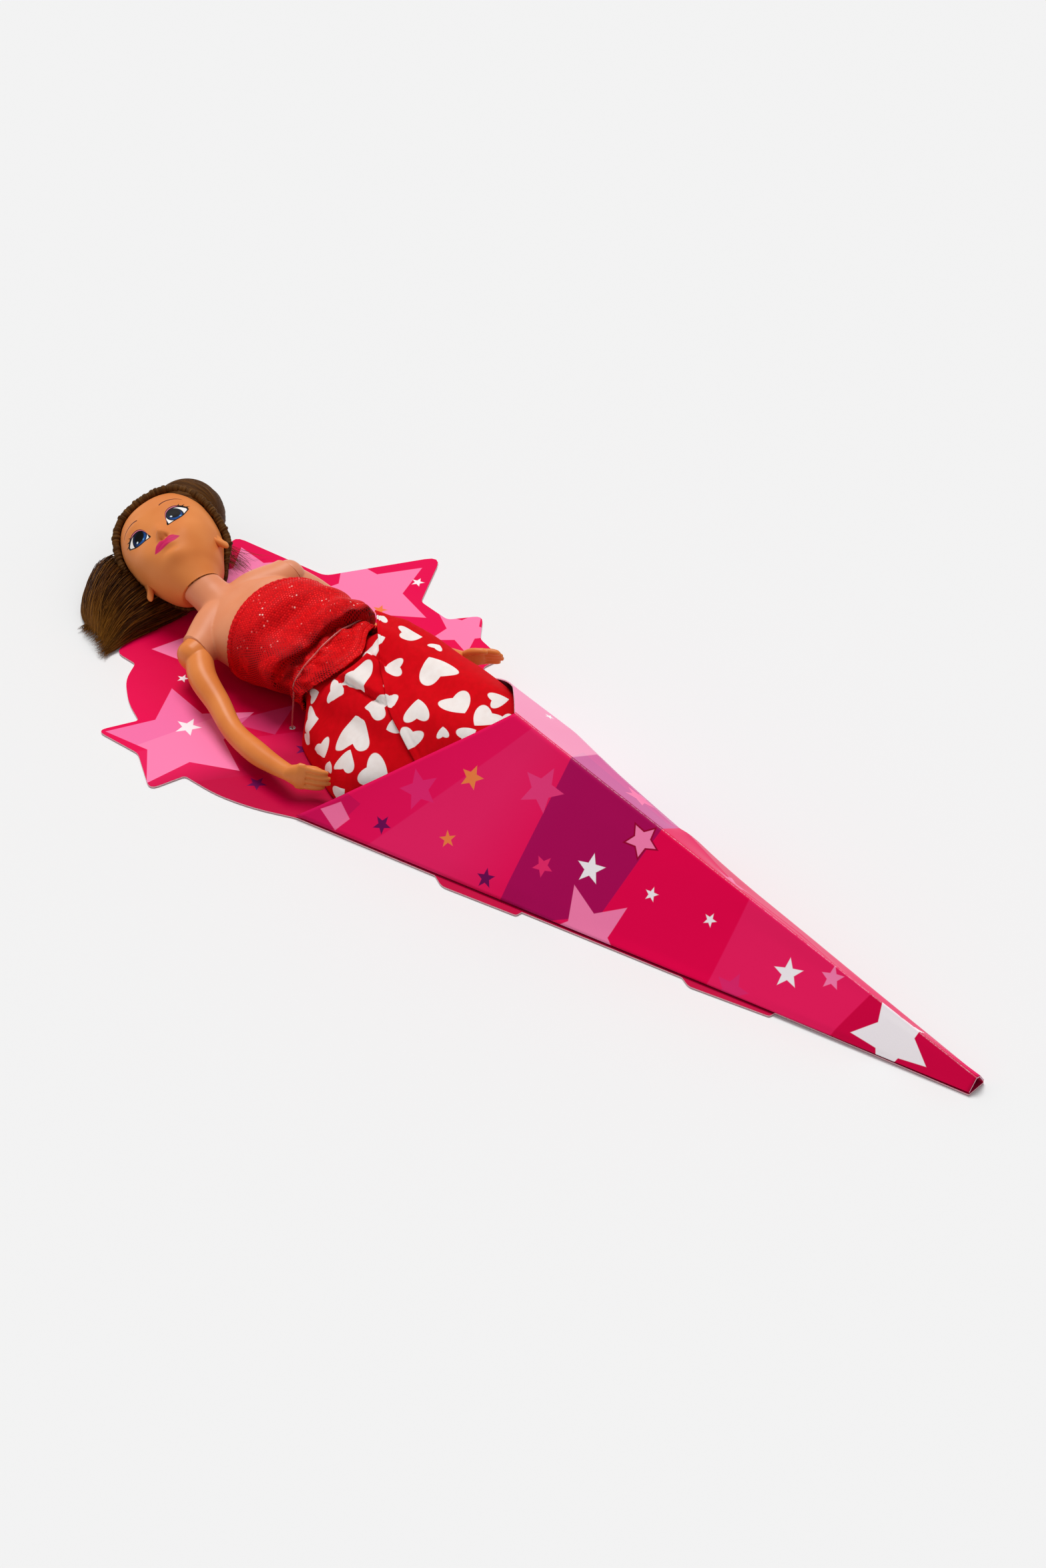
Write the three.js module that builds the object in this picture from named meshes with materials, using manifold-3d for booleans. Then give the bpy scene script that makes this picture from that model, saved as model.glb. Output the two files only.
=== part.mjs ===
import * as THREE from 'three';
import { mergeVertices } from 'three/addons/utils/BufferGeometryUtils.js';
import Module from 'manifold-3d';

// Fashion doll lying in its die-cut display carton. Millimetres. X points to the doll's left,
// Y from the feet to the head and Z up from the floor. The origin lies on the carton's back.

const wasm = await Module();
wasm.setup();

const TAU = Math.PI * 2;
const sliver_size = 0.02;
const seat_gap = 0.3;

// Carton.
const card_thickness = 0.6;
const cone_length = 300;
const cone_left = 55.5;
const cone_right = 52.1;
const mouth_left_y = -23;
const mouth_right_y = -19.4;
const ridge_height = 49;
const ridge_x = 0.8;
const ridge_y = -82;
const shoulder_fold_height = 40;
const shoulder_fold_x = 20.5;
const shoulder_fold_y = -63;
const wall_bow = 2.2;
const tip_width = 8.6;
const tip_height = 5.2;
const glue_flap_width = 9;
const glue_flap_thickness = 0.3;
const face_gap = 0.05;
const tie_hole_diameter = 2.6;
const tie_diameter = 0.9;
const tie_y = 15;
const tie_left_x = -18.6;
const tie_right_x = 27;

// Body.
const body_x = 4;
const body_roll = 9;
const body_height = 16.5;
const neck_diameter = 15.6;
const neck_lean = 18;
const neck_side_lean = 15;
const neck_joint_y = 80.7;
const neck_joint_height = 19.8;
const neck_joint_x = 1.1;
const neck_ball_diameter = 11;
const neck_stem_diameter = 7;
const ball_clearance = 0.5;
const shoulder_y = 62;
const shoulder_rise = 1.5;
const shoulder_span = 44;
const bust_y = 42;
const bust_width = 42;
const bust_depth = 33;
const under_bust_y = 32;
const under_bust_width = 37;
const waist_y = 17;
const waist_width = 31;
const waist_depth = 21;
const hip_y = -12;
const hip_width = 46;
const hip_depth = 27;
const seat_y = -30;

// Limbs.
const arm_plug_diameter = 8;
const arm_stem_diameter = 5;
const arm_stem_length = 3;
const shoulder_radius = 6.6;
const upper_arm_radius = 5;
const elbow_radius = 4;
const forearm_radius = 4.4;
const wrist_radius = 3;
const elbow_y = 23.5;
const wrist_y = -11.5;
const palm_width = 8.6;
const palm_thickness = 4.4;
const palm_length = 8.6;
const finger_radius = 1.25;
const finger_length = 7.6;
const thumb_length = 8.5;
const hip_ball_diameter = 9;
const hip_stem_diameter = 6;
const hip_spacing = 21.5;
const thigh_radius = 9.6;
const knee_radius = 6.6;
const calf_radius = 6.9;
const ankle_radius = 3.6;
const leg_length = 126;
const thigh_gap = 1.5;

// Head, measured from the level of the eyes.
const head_lean = 24;
const head_turn = 26.5;
const head_width = 38.4;
const head_offset = 1;
const face_depth = 18;
const nape_depth = 14.8;
const crown_height = 30;
const chin_drop = 16;
const neck_drop = 26.5;
const nose_drop = 6;
const nose_length = 4.2;
const lip_drop = 10.5;
const lip_width = 11.5;
const ear_drop = 5;
const ear_height = 9;
const ear_forward = 1.9;

// Hair.
const hairline_high = 23;
const hairline_low = -15;
const hairline_slope = 27;
const roll_radius = 1.7;
const roll_rib_height = 0.3;
const roll_ribs = 54;
const hair_thickness = 1.6;
const cap_clearance = 0.5;
const knot_radius = 15;
const knot_x = 11;
const knot_y = 22.4;
const knot_z = -4.5;
const tail_reach = 37.5;
const tail_spread = 36;
const tail_height = 23;
const tail_locks = 9;

// Clothes.
const cloth_gap = 0.6;
const top_thickness = 0.9;
const top_upper_y = 53.5;
const top_drop_right = 6;
const top_drop_left = 13;
const top_lower_y = 1.5;
const top_fold_height = 2.4;
const top_looseness = 8.4;
const skirt_thickness = 0.9;
const skirt_waist_y = 16;
const skirt_length = 112;
const skirt_hem_width = 66;
const skirt_flare_left = 41;
const skirt_fold_height = 1.1;
const skirt_folds = 9;
const panel_step = 1.3;

const skirt_lift = cloth_gap + skirt_thickness;
const top_lift_over_skirt = skirt_lift + cloth_gap;
const body_rest_height = card_thickness + seat_gap + top_lift_over_skirt + top_thickness;

const degrees = (angle) => (angle * Math.PI) / 180;
const vector = (x, y, z) => new THREE.Vector3(x, y, z);
const mix = (a, b, t) => a + (b - a) * t;
const clamp = (value, low, high) => Math.min(high, Math.max(low, value));

function smoothstep(low, high, value) {
  const t = clamp((value - low) / (high - low), 0, 1);
  return t * t * (3 - 2 * t);
}

/** A closed BufferGeometry facing out, from points and triangles of point numbers. */
function closedGeometry(points, triangles) {
  let volume = 0;
  for (const [a, b, c] of triangles) {
    volume += points[a].dot(points[b].clone().cross(points[c]));
  }
  const facing = volume < 0 ? triangles.map(([a, b, c]) => [a, c, b]) : triangles;
  const geometry = new THREE.BufferGeometry();
  const position = points.flatMap((point) => point.toArray());
  geometry.setAttribute('position', new THREE.Float32BufferAttribute(position, 3));
  geometry.setIndex(facing.flat());
  return geometry;
}

/** Joins rings of points into a solid with fanned ends. */
function loft(rings) {
  const sides = rings[0].length;
  const points = rings.flat();
  const triangles = [];
  for (let ring = 0; ring < rings.length - 1; ring += 1) {
    for (let side = 0; side < sides; side += 1) {
      const next = (side + 1) % sides;
      const a = ring * sides + side;
      const b = ring * sides + next;
      triangles.push([a, b, b + sides], [a, b + sides, a + sides]);
    }
  }
  const endCap = (ring, flip) => {
    const centre = rings[ring]
      .reduce((sum, point) => sum.add(point), vector(0, 0, 0))
      .divideScalar(sides);
    const hub = points.push(centre) - 1;
    for (let side = 0; side < sides; side += 1) {
      const a = ring * sides + side;
      const b = ring * sides + ((side + 1) % sides);
      triangles.push(flip ? [hub, b, a] : [hub, a, b]);
    }
  };
  endCap(0, true);
  endCap(rings.length - 1, false);
  return closedGeometry(points, triangles);
}

/** Joins rings that form a closed circuit, such as a roll that goes round the head. */
function loop(rings) {
  const sides = rings[0].length;
  const triangles = [];
  for (let ring = 0; ring < rings.length; ring += 1) {
    const nextRing = (ring + 1) % rings.length;
    for (let side = 0; side < sides; side += 1) {
      const next = (side + 1) % sides;
      const a = ring * sides + side;
      const b = ring * sides + next;
      const c = nextRing * sides + next;
      const d = nextRing * sides + side;
      triangles.push([a, b, c], [a, c, d]);
    }
  }
  return closedGeometry(rings.flat(), triangles);
}

/** A tube of cloth: outer and inner rings joined at both open ends. */
function openSleeve(outerRings, innerRings) {
  const profile = [...outerRings, ...[...innerRings].reverse()];
  const sides = profile[0].length;
  const around = [];
  for (let side = 0; side < sides; side += 1) {
    around.push(profile.map((ring) => ring[side]));
  }
  return loop(around);
}

/** A thin sheet with its outer face on a grid of points, closed at its four edges. */
function thickSheet(grid, thickness) {
  const rows = grid.length;
  const columns = grid[0].length;
  const outer = grid.flat();
  const normals = outer.map(() => vector(0, 0, 0));
  const cells = [];
  for (let i = 0; i < rows - 1; i += 1) {
    for (let j = 0; j < columns - 1; j += 1) {
      const a = i * columns + j;
      cells.push([a, a + 1, a + columns + 1], [a, a + columns + 1, a + columns]);
    }
  }
  for (const [a, b, c] of cells) {
    const normal = outer[b].clone().sub(outer[a]).cross(outer[c].clone().sub(outer[a]));
    [a, b, c].forEach((corner) => normals[corner].add(normal));
  }
  const inner = outer.map((point, k) => point.clone().addScaledVector(normals[k].normalize(), -thickness));
  const shift = outer.length;
  const triangles = cells.flatMap(([a, b, c]) => [[a, b, c], [a + shift, c + shift, b + shift]]);
  const edge = [];
  for (let j = 0; j < columns - 1; j += 1) edge.push([j, j + 1]);
  for (let i = 0; i < rows - 1; i += 1) edge.push([(i + 1) * columns - 1, (i + 2) * columns - 1]);
  for (let j = columns - 1; j > 0; j -= 1) edge.push([(rows - 1) * columns + j, (rows - 1) * columns + j - 1]);
  for (let i = rows - 1; i > 0; i -= 1) edge.push([i * columns, (i - 1) * columns]);
  for (const [a, b] of edge) triangles.push([b, a, a + shift], [b, a + shift, b + shift]);
  return closedGeometry([...outer, ...inner], triangles);
}

/** Hands a closed geometry to the boolean kernel. */
function toSolid(geometry) {
  const bare = new THREE.BufferGeometry();
  const whole = geometry.index ? geometry : geometry.clone();
  bare.setAttribute('position', whole.getAttribute('position').clone());
  if (whole.index) bare.setIndex(whole.index.clone());
  const merged = mergeVertices(bare, 1e-4);
  return new wasm.Manifold(
    new wasm.Mesh({
      numProp: 3,
      vertProperties: new Float32Array(merged.getAttribute('position').array),
      triVerts: new Uint32Array(merged.index.array),
    }),
  );
}

/** A geometry from the boolean kernel, without the slivers that cuts leave. */
function fromSolid(solid) {
  const mesh = solid.simplify(sliver_size).getMesh();
  const geometry = new THREE.BufferGeometry();
  geometry.setAttribute('position', new THREE.Float32BufferAttribute(mesh.vertProperties, 3));
  geometry.setIndex(Array.from(mesh.triVerts));
  return geometry;
}

function ball(centre, radius, steps = 12) {
  const geometry = new THREE.SphereGeometry(radius, steps, steps / 2);
  return toSolid(geometry.translate(centre.x, centre.y, centre.z));
}

/** A round bar from one point to another, with its own radius at each end. */
function bar(start, end, startRadius, endRadius, steps = 12) {
  const length = start.distanceTo(end);
  const geometry = new THREE.CylinderGeometry(endRadius, startRadius, length, steps);
  const direction = end.clone().sub(start).normalize();
  const turn = new THREE.Quaternion().setFromUnitVectors(vector(0, 1, 0), direction);
  const middle = start.clone().lerp(end, 0.5);
  return toSolid(geometry.applyQuaternion(turn).translate(middle.x, middle.y, middle.z));
}

/** A smooth curve through [place, value, value...] stations, read off at any place. */
function throughStations(stations) {
  const sorted = [...stations].sort((a, b) => a[0] - b[0]);
  return (place) => {
    const last = sorted.length - 1;
    let k = 0;
    while (k < last - 1 && place > sorted[k + 1][0]) k += 1;
    const [before, from, to, after] = [Math.max(k - 1, 0), k, k + 1, Math.min(k + 2, last)].map((n) => sorted[n]);
    const span = to[0] - from[0];
    const t = clamp((place - from[0]) / span, 0, 1);
    return from.slice(1).map((value, n) => {
      const slopeIn = (to[n + 1] - before[n + 1]) / Math.max(to[0] - before[0], 1e-6);
      const slopeOut = (after[n + 1] - value) / Math.max(after[0] - from[0], 1e-6);
      const h = t * t * t - 2 * t * t + t;
      const g = t * t * t - t * t;
      const blend = t * t * (3 - 2 * t);
      return mix(value, to[n + 1], blend) + span * (h * slopeIn + g * slopeOut);
    });
  };
}

/** A point of a rounded-square outline. Roundness 2 is an ellipse, more is squarer. */
function squareRound(angle, halfWidth, front, back, roundness) {
  const c = Math.cos(angle);
  const s = Math.sin(angle);
  const power = 2 / roundness;
  const depth = s >= 0 ? front : back;
  return [halfWidth * Math.sign(c) * Math.abs(c) ** power, depth * Math.sign(s) * Math.abs(s) ** power];
}

// The carton: a flat die-cut back and a folded front that makes a cone with it.

const sheet_base = card_thickness + seat_gap + card_thickness;

/** The mouth's rim from the left fold over the ridge to the right fold, with the tip below each point. */
function coneRulings() {
  const mouthLeft = vector(-cone_left, mouth_left_y, sheet_base);
  const mouthRidge = vector(ridge_x, ridge_y, ridge_height);
  const mouthShoulder = vector(shoulder_fold_x, shoulder_fold_y, shoulder_fold_height);
  const mouthRight = vector(cone_right, mouth_right_y, sheet_base);
  const tipLeft = vector(-tip_width / 2 - 0.5, -cone_length, sheet_base);
  const tipRidge = vector(-0.8, -cone_length, tip_height + card_thickness);
  const tipShoulder = vector(1.4, -cone_length, tip_height);
  const tipRight = vector(tip_width / 2 - 0.5, -cone_length, sheet_base);
  const wallCurve = new THREE.QuadraticBezierCurve3(
    mouthShoulder,
    mouthShoulder.clone().lerp(mouthRight, 0.5).add(vector(2.2, -1.8, wall_bow)),
    mouthRight,
  );
  const rulings = [];
  const panel = (mouthAt, tipFrom, tipTo, steps, first) => {
    for (let k = first; k <= steps; k += 1) {
      const t = k / steps;
      rulings.push({ mouth: mouthAt(t), tip: tipFrom.clone().lerp(tipTo, t) });
    }
  };
  panel((t) => mouthLeft.clone().lerp(mouthRidge, t), tipLeft, tipRidge, 4, 0);
  panel((t) => mouthRidge.clone().lerp(mouthShoulder, t), tipRidge, tipShoulder, 2, 1);
  panel((t) => wallCurve.getPoint(t), tipShoulder, tipRight, 8, 1);
  return rulings;
}

const rulings = coneRulings();
const coneSteps = 8;

function coneFront() {
  const grid = rulings.map(({ mouth, tip }) => {
    const column = [];
    for (let k = 0; k <= coneSteps; k += 1) column.push(mouth.clone().lerp(tip, k / coneSteps));
    return column;
  });
  return thickSheet(grid, card_thickness);
}

/** The strip that glues the front to the back, lying inside along the right fold. */
function glueFlap() {
  const z = card_thickness + face_gap;
  const inset = card_thickness * 3;
  const start = mouth_right_y - 12;
  const shape = new THREE.Shape();
  const edgeX = (y) => mix(cone_right, tip_width / 2, (mouth_right_y - y) / (cone_length + mouth_right_y)) - inset;
  const end = -cone_length + 40;
  shape.moveTo(edgeX(start), start);
  shape.lineTo(edgeX(end), end);
  shape.lineTo(edgeX(end) - glue_flap_width * 0.4, end + 8);
  shape.lineTo(edgeX(start) - glue_flap_width, start - 9);
  shape.closePath();
  const geometry = new THREE.ExtrudeGeometry(shape, { depth: glue_flap_thickness, bevelEnabled: false });
  return geometry.translate(0, 0, z);
}

/** Rounds each corner of an outline given as [x, y, corner radius]. */
function roundedShape(corners) {
  const shape = new THREE.Shape();
  corners.forEach(([x, y, radius], k) => {
    const before = corners[(k + corners.length - 1) % corners.length];
    const after = corners[(k + 1) % corners.length];
    const here = new THREE.Vector2(x, y);
    const back = new THREE.Vector2(before[0] - x, before[1] - y);
    const ahead = new THREE.Vector2(after[0] - x, after[1] - y);
    const reach = Math.min(radius, back.length() * 0.45, ahead.length() * 0.45);
    const from = here.clone().addScaledVector(back.normalize(), reach);
    const to = here.clone().addScaledVector(ahead.normalize(), reach);
    if (k === 0) shape.moveTo(from.x, from.y);
    else shape.lineTo(from.x, from.y);
    shape.quadraticCurveTo(x, y, to.x, to.y);
  });
  shape.closePath();
  return shape;
}

function backCard() {
  const tip = tip_width / 2;
  const outline = roundedShape([
    [tip - 0.5, -cone_length, 0.5],
    [cone_right, mouth_right_y, 1],
    [57.4, -13.6, 2],
    [66.2, -15.3, 3],
    [69.6, -0.9, 2],
    [81.2, 8.3, 4],
    [70, 16.9, 2],
    [71.4, 32.5, 2],
    [98.5, 46.6, 7],
    [58.1, 72.2, 3],
    [52.5, 117.7, 6],
    [31, 104, 4],
    [10, 121, 5],
    [-6, 101, 4],
    [-31.4, 98.5, 4],
    [-31.4, 87.4, 1.5],
    [-41, 83, 5],
    [-50, 72, 6],
    [-54.8, 61.4, 1.5],
    [-69.8, 68.9, 4],
    [-68.7, 47.5, 2],
    [-80.6, 29.2, 4],
    [-66.2, 24.9, 1.5],
    [-66, 8, 12],
    [-62, -8, 10],
    [-cone_left, mouth_left_y, 2],
    [-44.7, -83.6, 0.4],
    [-47.4, -89.4, 2],
    [-41, -120.4, 1],
    [-38.3, -120.7, 0.4],
    [-25.9, -186.7, 0.4],
    [-27.9, -191.5, 1.5],
    [-20.6, -223, 1],
    [-17.9, -223.4, 0.4],
    [-tip - 0.5, -cone_length, 0.5],
  ]);
  const hole = (x) => {
    const path = new THREE.Path();
    path.absarc(x, tie_y, tie_hole_diameter / 2, 0, TAU, true);
    return path;
  };
  outline.holes.push(hole(tie_left_x), hole(tie_right_x));
  return new THREE.ExtrudeGeometry(outline, { depth: card_thickness, bevelEnabled: false, curveSegments: 4 });
}

// The body's outline, from the neck down to the seat.

const neckPath = vector(0, Math.cos(degrees(neck_lean)), Math.sin(degrees(neck_lean)));
const neckAxis = vector(
  Math.sin(degrees(neck_side_lean)) * neckPath.y,
  Math.cos(degrees(neck_side_lean)) * neckPath.y,
  neckPath.z,
);
const neckJoint = vector(neck_joint_x, neck_joint_y, neck_joint_height);

const rollSide = vector(Math.cos(degrees(body_roll)), 0, Math.sin(degrees(body_roll)));
const rollFront = vector(-rollSide.z, 0, rollSide.x);

/** A place on the body, which lies rolled a little onto its right side. */
const rolled = (x, y, z) => vector(body_x, y, body_height).addScaledVector(rollSide, x).addScaledVector(rollFront, z);

const bodyAt = throughStations([
  [neck_joint_y - 9, neck_diameter / 2 + 1.6, 9, 9.5, 0.6],
  [shoulder_y + 5.5, 16, 10, 10, 0.8],
  [shoulder_y + 1, shoulder_span / 2 - 1, 11, 11, 0.5],
  [shoulder_y - 6, shoulder_span / 2 - 0.2, 14.5, 12, 0.5],
  [bust_y, bust_width / 2, bust_depth / 2 + 2.5, bust_depth / 2 - 3, -0.5],
  [under_bust_y, under_bust_width / 2, bust_depth / 2 - 2.5, 12, -0.5],
  [waist_y, waist_width / 2, waist_depth / 2, waist_depth / 2, -0.5],
  [waist_y - 14, (waist_width + hip_width) / 4 + 1, waist_depth / 2 + 1.6, 11.5, -0.5],
  [hip_y, hip_width / 2, hip_depth / 2, 13, -0.5],
  [seat_y + 4, hip_width / 2 - 1, hip_depth / 2 - 0.5, 12.5, -0.8],
  [seat_y, hip_width / 2 - 3.5, hip_depth / 2 - 3.5, 9.5, -1],
]);

function bodyPoint(y, angle, offset) {
  const [halfWidth, front, back, rise] = bodyAt(y);
  const [x, z] = squareRound(angle, halfWidth + offset, front + offset, back + offset, 2.25);
  const point = rolled(x, y, z + rise);
  return point.setZ(Math.max(body_rest_height - offset, point.z));
}

const around = (sides, place) => Array.from({ length: sides }, (_, side) => place((side / sides) * TAU));

const shoulderPlace = (side) => rolled(side * (shoulder_span / 2), shoulder_y, shoulder_rise);
const hipPlace = (side) => rolled(side * (hip_spacing / 2), seat_y - 1, -1.5);

function torso() {
  const rings = [];
  const sides = 24;
  for (let y = seat_y; y < neck_joint_y - 9; y += 4.2) rings.push(around(sides, (angle) => bodyPoint(y, angle, 0)));
  const neckTop = neckJoint.clone().addScaledVector(neckAxis, -seat_gap);
  for (const [back, radius] of [[7.5, neck_diameter / 2 + 0.9], [4, neck_diameter / 2], [0, neck_diameter / 2]]) {
    const facing = neckAxis.clone().lerp(neckPath, back / 7.5).normalize();
    const across = vector(facing.y, -facing.x, 0).normalize();
    const upward = across.clone().cross(facing);
    const centre = neckTop.clone().addScaledVector(neckPath, -back);
    const ring = around(sides, (angle) =>
      centre
        .clone()
        .addScaledVector(across, Math.cos(angle) * radius)
        .addScaledVector(upward, Math.sin(angle) * radius),
    );
    rings.push(ring);
  }
  let solid = toSolid(loft(rings));
  const ballCentre = neckJoint.clone().addScaledVector(neckAxis, neck_ball_diameter / 2 + 2);
  solid = solid
    .add(bar(neckTop.clone().addScaledVector(neckAxis, -2), ballCentre, neck_stem_diameter / 2, neck_stem_diameter / 2))
    .add(ball(ballCentre, neck_ball_diameter / 2, 16));
  for (const side of [-1, 1]) {
    const face = shoulderPlace(side);
    const outward = (reach) => face.clone().addScaledVector(rollSide, side * reach);
    const inner = outward(-arm_stem_length - 4);
    const mouthEnd = outward(8);
    const recess = outward(0.5 - arm_stem_length);
    const deep = outward(-arm_stem_length - 5.2);
    solid = solid
      .subtract(bar(face, mouthEnd, shoulder_radius + 3, shoulder_radius + 3, 24))
      .subtract(bar(deep, recess, arm_plug_diameter / 2 + ball_clearance, arm_plug_diameter / 2 + ball_clearance))
      .subtract(bar(inner, mouthEnd, arm_stem_diameter / 2 + ball_clearance, arm_stem_diameter / 2 + ball_clearance));
    const hip = hipPlace(side);
    const ballAt = hip.clone().add(vector(0, hip_ball_diameter / 2 + 1.5, 0));
    solid = solid
      .subtract(ball(ballAt, hip_ball_diameter / 2 + ball_clearance))
      .subtract(bar(hip.clone().add(vector(0, -3, 0)), ballAt, hip_stem_diameter / 2 + 1, hip_stem_diameter / 2 + 1));
  }
  return fromSolid(solid);
}

// Arms: a swept limb, a moulded hand with four fingers and a thumb, and the plug that turns in the body.

/** A limb through [x, y, z, radius] stations. */
function limb(stations, sides = 11, steps = 14, reference = vector(0, 0, 1)) {
  const path = new THREE.CatmullRomCurve3(stations.map(([x, y, z]) => vector(x, y, z)), false, 'centripetal');
  const radii = new THREE.SplineCurve(stations.map(([, , , radius], k) => new THREE.Vector2(k, radius)));
  const rings = [];
  for (let step = 0; step <= steps; step += 1) {
    const t = step / steps;
    const centre = path.getPoint(t);
    const along = path.getTangent(t).normalize();
    const across = reference.clone().cross(along).normalize();
    const upward = along.clone().cross(across);
    const radius = radii.getPoint(t).y;
    const ring = [];
    for (let side = 0; side < sides; side += 1) {
      const angle = (side / sides) * TAU;
      ring.push(
        centre
          .clone()
          .addScaledVector(across, Math.cos(angle) * radius)
          .addScaledVector(upward, Math.sin(angle) * radius),
      );
    }
    rings.push(ring);
  }
  return toSolid(loft(rings));
}

/** A moulded hand. The frame gives the way the fingers point, their row and the way they curl. */
function hand(wrist, pointing, row, curl) {
  const place = (along, across, out) =>
    wrist
      .clone()
      .addScaledVector(pointing, along)
      .addScaledVector(row, across)
      .addScaledVector(curl, out);
  const palmRings = [
    [-1.5, wrist_radius * 0.95, wrist_radius * 0.9],
    [2, palm_width * 0.4, palm_thickness * 0.52],
    [palm_length * 0.6, palm_width * 0.5, palm_thickness * 0.5],
    [palm_length, palm_width * 0.5, palm_thickness * 0.36],
    [palm_length + 1, palm_width * 0.44, palm_thickness * 0.26],
  ].map(([along, halfWidth, halfDepth]) => {
    const ring = [];
    for (let side = 0; side < 12; side += 1) {
      const angle = (side / 12) * TAU;
      ring.push(place(along, Math.cos(angle) * halfWidth, Math.sin(angle) * halfDepth));
    }
    return ring;
  });
  let solid = toSolid(loft(palmRings));
  const reach = [0.86, 0.97, 1, 0.8];
  const spacing = (palm_width - finger_radius) / 3.4;
  for (let finger = 0; finger < 4; finger += 1) {
    const across = (finger - 1.5) * spacing;
    const length = finger_length * reach[finger];
    const sizes = [
      [palm_length - 1.5, 0, 1.05],
      [palm_length + length * 0.45, 0.5, 1],
      [palm_length + length * 0.82, 1.3, 0.9],
      [palm_length + length, 2, 0.55],
    ];
    const stations = sizes.map(([along, out, size]) => {
      const point = place(along, across * (1 - 0.02 * along), out);
      return [point.x, point.y, point.z, finger_radius * size];
    });
    solid = solid.add(limb(stations, 7, 5));
  }
  const thumbSizes = [
    [1.5, 0.34, 0.6, 1.1],
    [4.5, 0.58, 1.8, 1.15],
    [thumb_length, 0.66, 3, 1],
    [thumb_length + 2.2, 0.62, 3.4, 0.6],
  ];
  const thumb = thumbSizes.map(([along, across, out, size]) => {
    const point = place(along, -palm_width * across, out);
    return [point.x, point.y, point.z, finger_radius * size];
  });
  return solid.add(limb(thumb, 7, 5));
}

function armPlug(side) {
  const face = shoulderPlace(side);
  const out = rollSide.clone().multiplyScalar(side);
  const start = face.clone().addScaledVector(out, 1.5);
  const neckEnd = face.clone().addScaledVector(out, -arm_stem_length);
  const flange = neckEnd.clone().addScaledVector(out, -3.4);
  return bar(flange, start, arm_stem_diameter / 2, arm_stem_diameter / 2).add(
    bar(flange, neckEnd.clone().addScaledVector(out, -0.4), arm_plug_diameter / 2 - 1, arm_plug_diameter / 2),
  );
}

/** The rounded top of the arm, a turned form about the shoulder's axis. */
function armCap(side) {
  const profile = [
    [seat_gap, 0],
    [seat_gap, shoulder_radius - 0.6],
    [seat_gap + 1.6, shoulder_radius],
    [4.4, shoulder_radius - 0.4],
    [7.2, shoulder_radius - 2.2],
    [8.8, shoulder_radius - 4.6],
    [9.2, 0],
  ].map(([along, radius]) => new THREE.Vector2(radius, along));
  const turned = new THREE.LatheGeometry(profile, 18).rotateZ(-Math.PI / 2);
  if (side < 0) turned.rotateY(Math.PI);
  turned.rotateY(-degrees(body_roll));
  const face = shoulderPlace(side);
  return toSolid(turned.translate(face.x, face.y, face.z));
}

/** An arm with its rounded top cut flat against the shoulder and the plug added. */
function fittedArm(side, arm) {
  const out = rollSide.clone().multiplyScalar(side);
  const flat = out.dot(shoulderPlace(side)) + seat_gap;
  return armCap(side).add(arm).trimByPlane(out.toArray(), flat).add(armPlug(side));
}

function rightArm() {
  const shoulder = shoulderPlace(-1);
  const wrist = vector(-46.6, wrist_y, 10);
  const arm = limb([
    [shoulder.x - 4.2, shoulder.y - 1, shoulder.z - 0.6, upper_arm_radius + 0.2],
    [-28.8, 52, 12, upper_arm_radius],
    [-34.4, 38, 9.6, upper_arm_radius - 0.7],
    [-41, elbow_y, 7.6, elbow_radius],
    [-44.6, 8, 8, forearm_radius],
    [-46, -3, 9, forearm_radius - 0.8],
    [wrist.x, wrist.y, wrist.z, wrist_radius],
  ]);
  const pointing = vector(0.42, -0.9, -0.08).normalize();
  const row = vector(-0.25, -0.02, -0.97);
  row.addScaledVector(pointing, -row.dot(pointing)).normalize();
  const curl = row.clone().cross(pointing).normalize();
  if (curl.x < 0) curl.negate();
  return fromSolid(fittedArm(-1, arm).add(hand(wrist, pointing, row, curl)));
}

function leftArm() {
  const shoulder = shoulderPlace(1);
  const wrist = vector(47.5, wrist_y, 9.5);
  const arm = limb([
    [shoulder.x + 4.2, shoulder.y - 1, shoulder.z - 0.6, upper_arm_radius + 0.2],
    [33.4, 52, 17, upper_arm_radius],
    [36.6, 38, 11, upper_arm_radius - 0.7],
    [39.3, elbow_y, 5.8, elbow_radius],
    [43, 8, 6.2, forearm_radius],
    [46, -3, 7.6, forearm_radius - 0.8],
    [wrist.x, wrist.y, wrist.z, wrist_radius],
  ]);
  const pointing = vector(0.68, -0.72, 0.12).normalize();
  const row = vector(0.1, 0.1, -1);
  row.addScaledVector(pointing, -row.dot(pointing)).normalize();
  const curl = row.clone().cross(pointing).normalize();
  if (curl.x > 0) curl.negate();
  return fromSolid(fittedArm(1, arm).add(hand(wrist, pointing, row, curl)));
}

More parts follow.
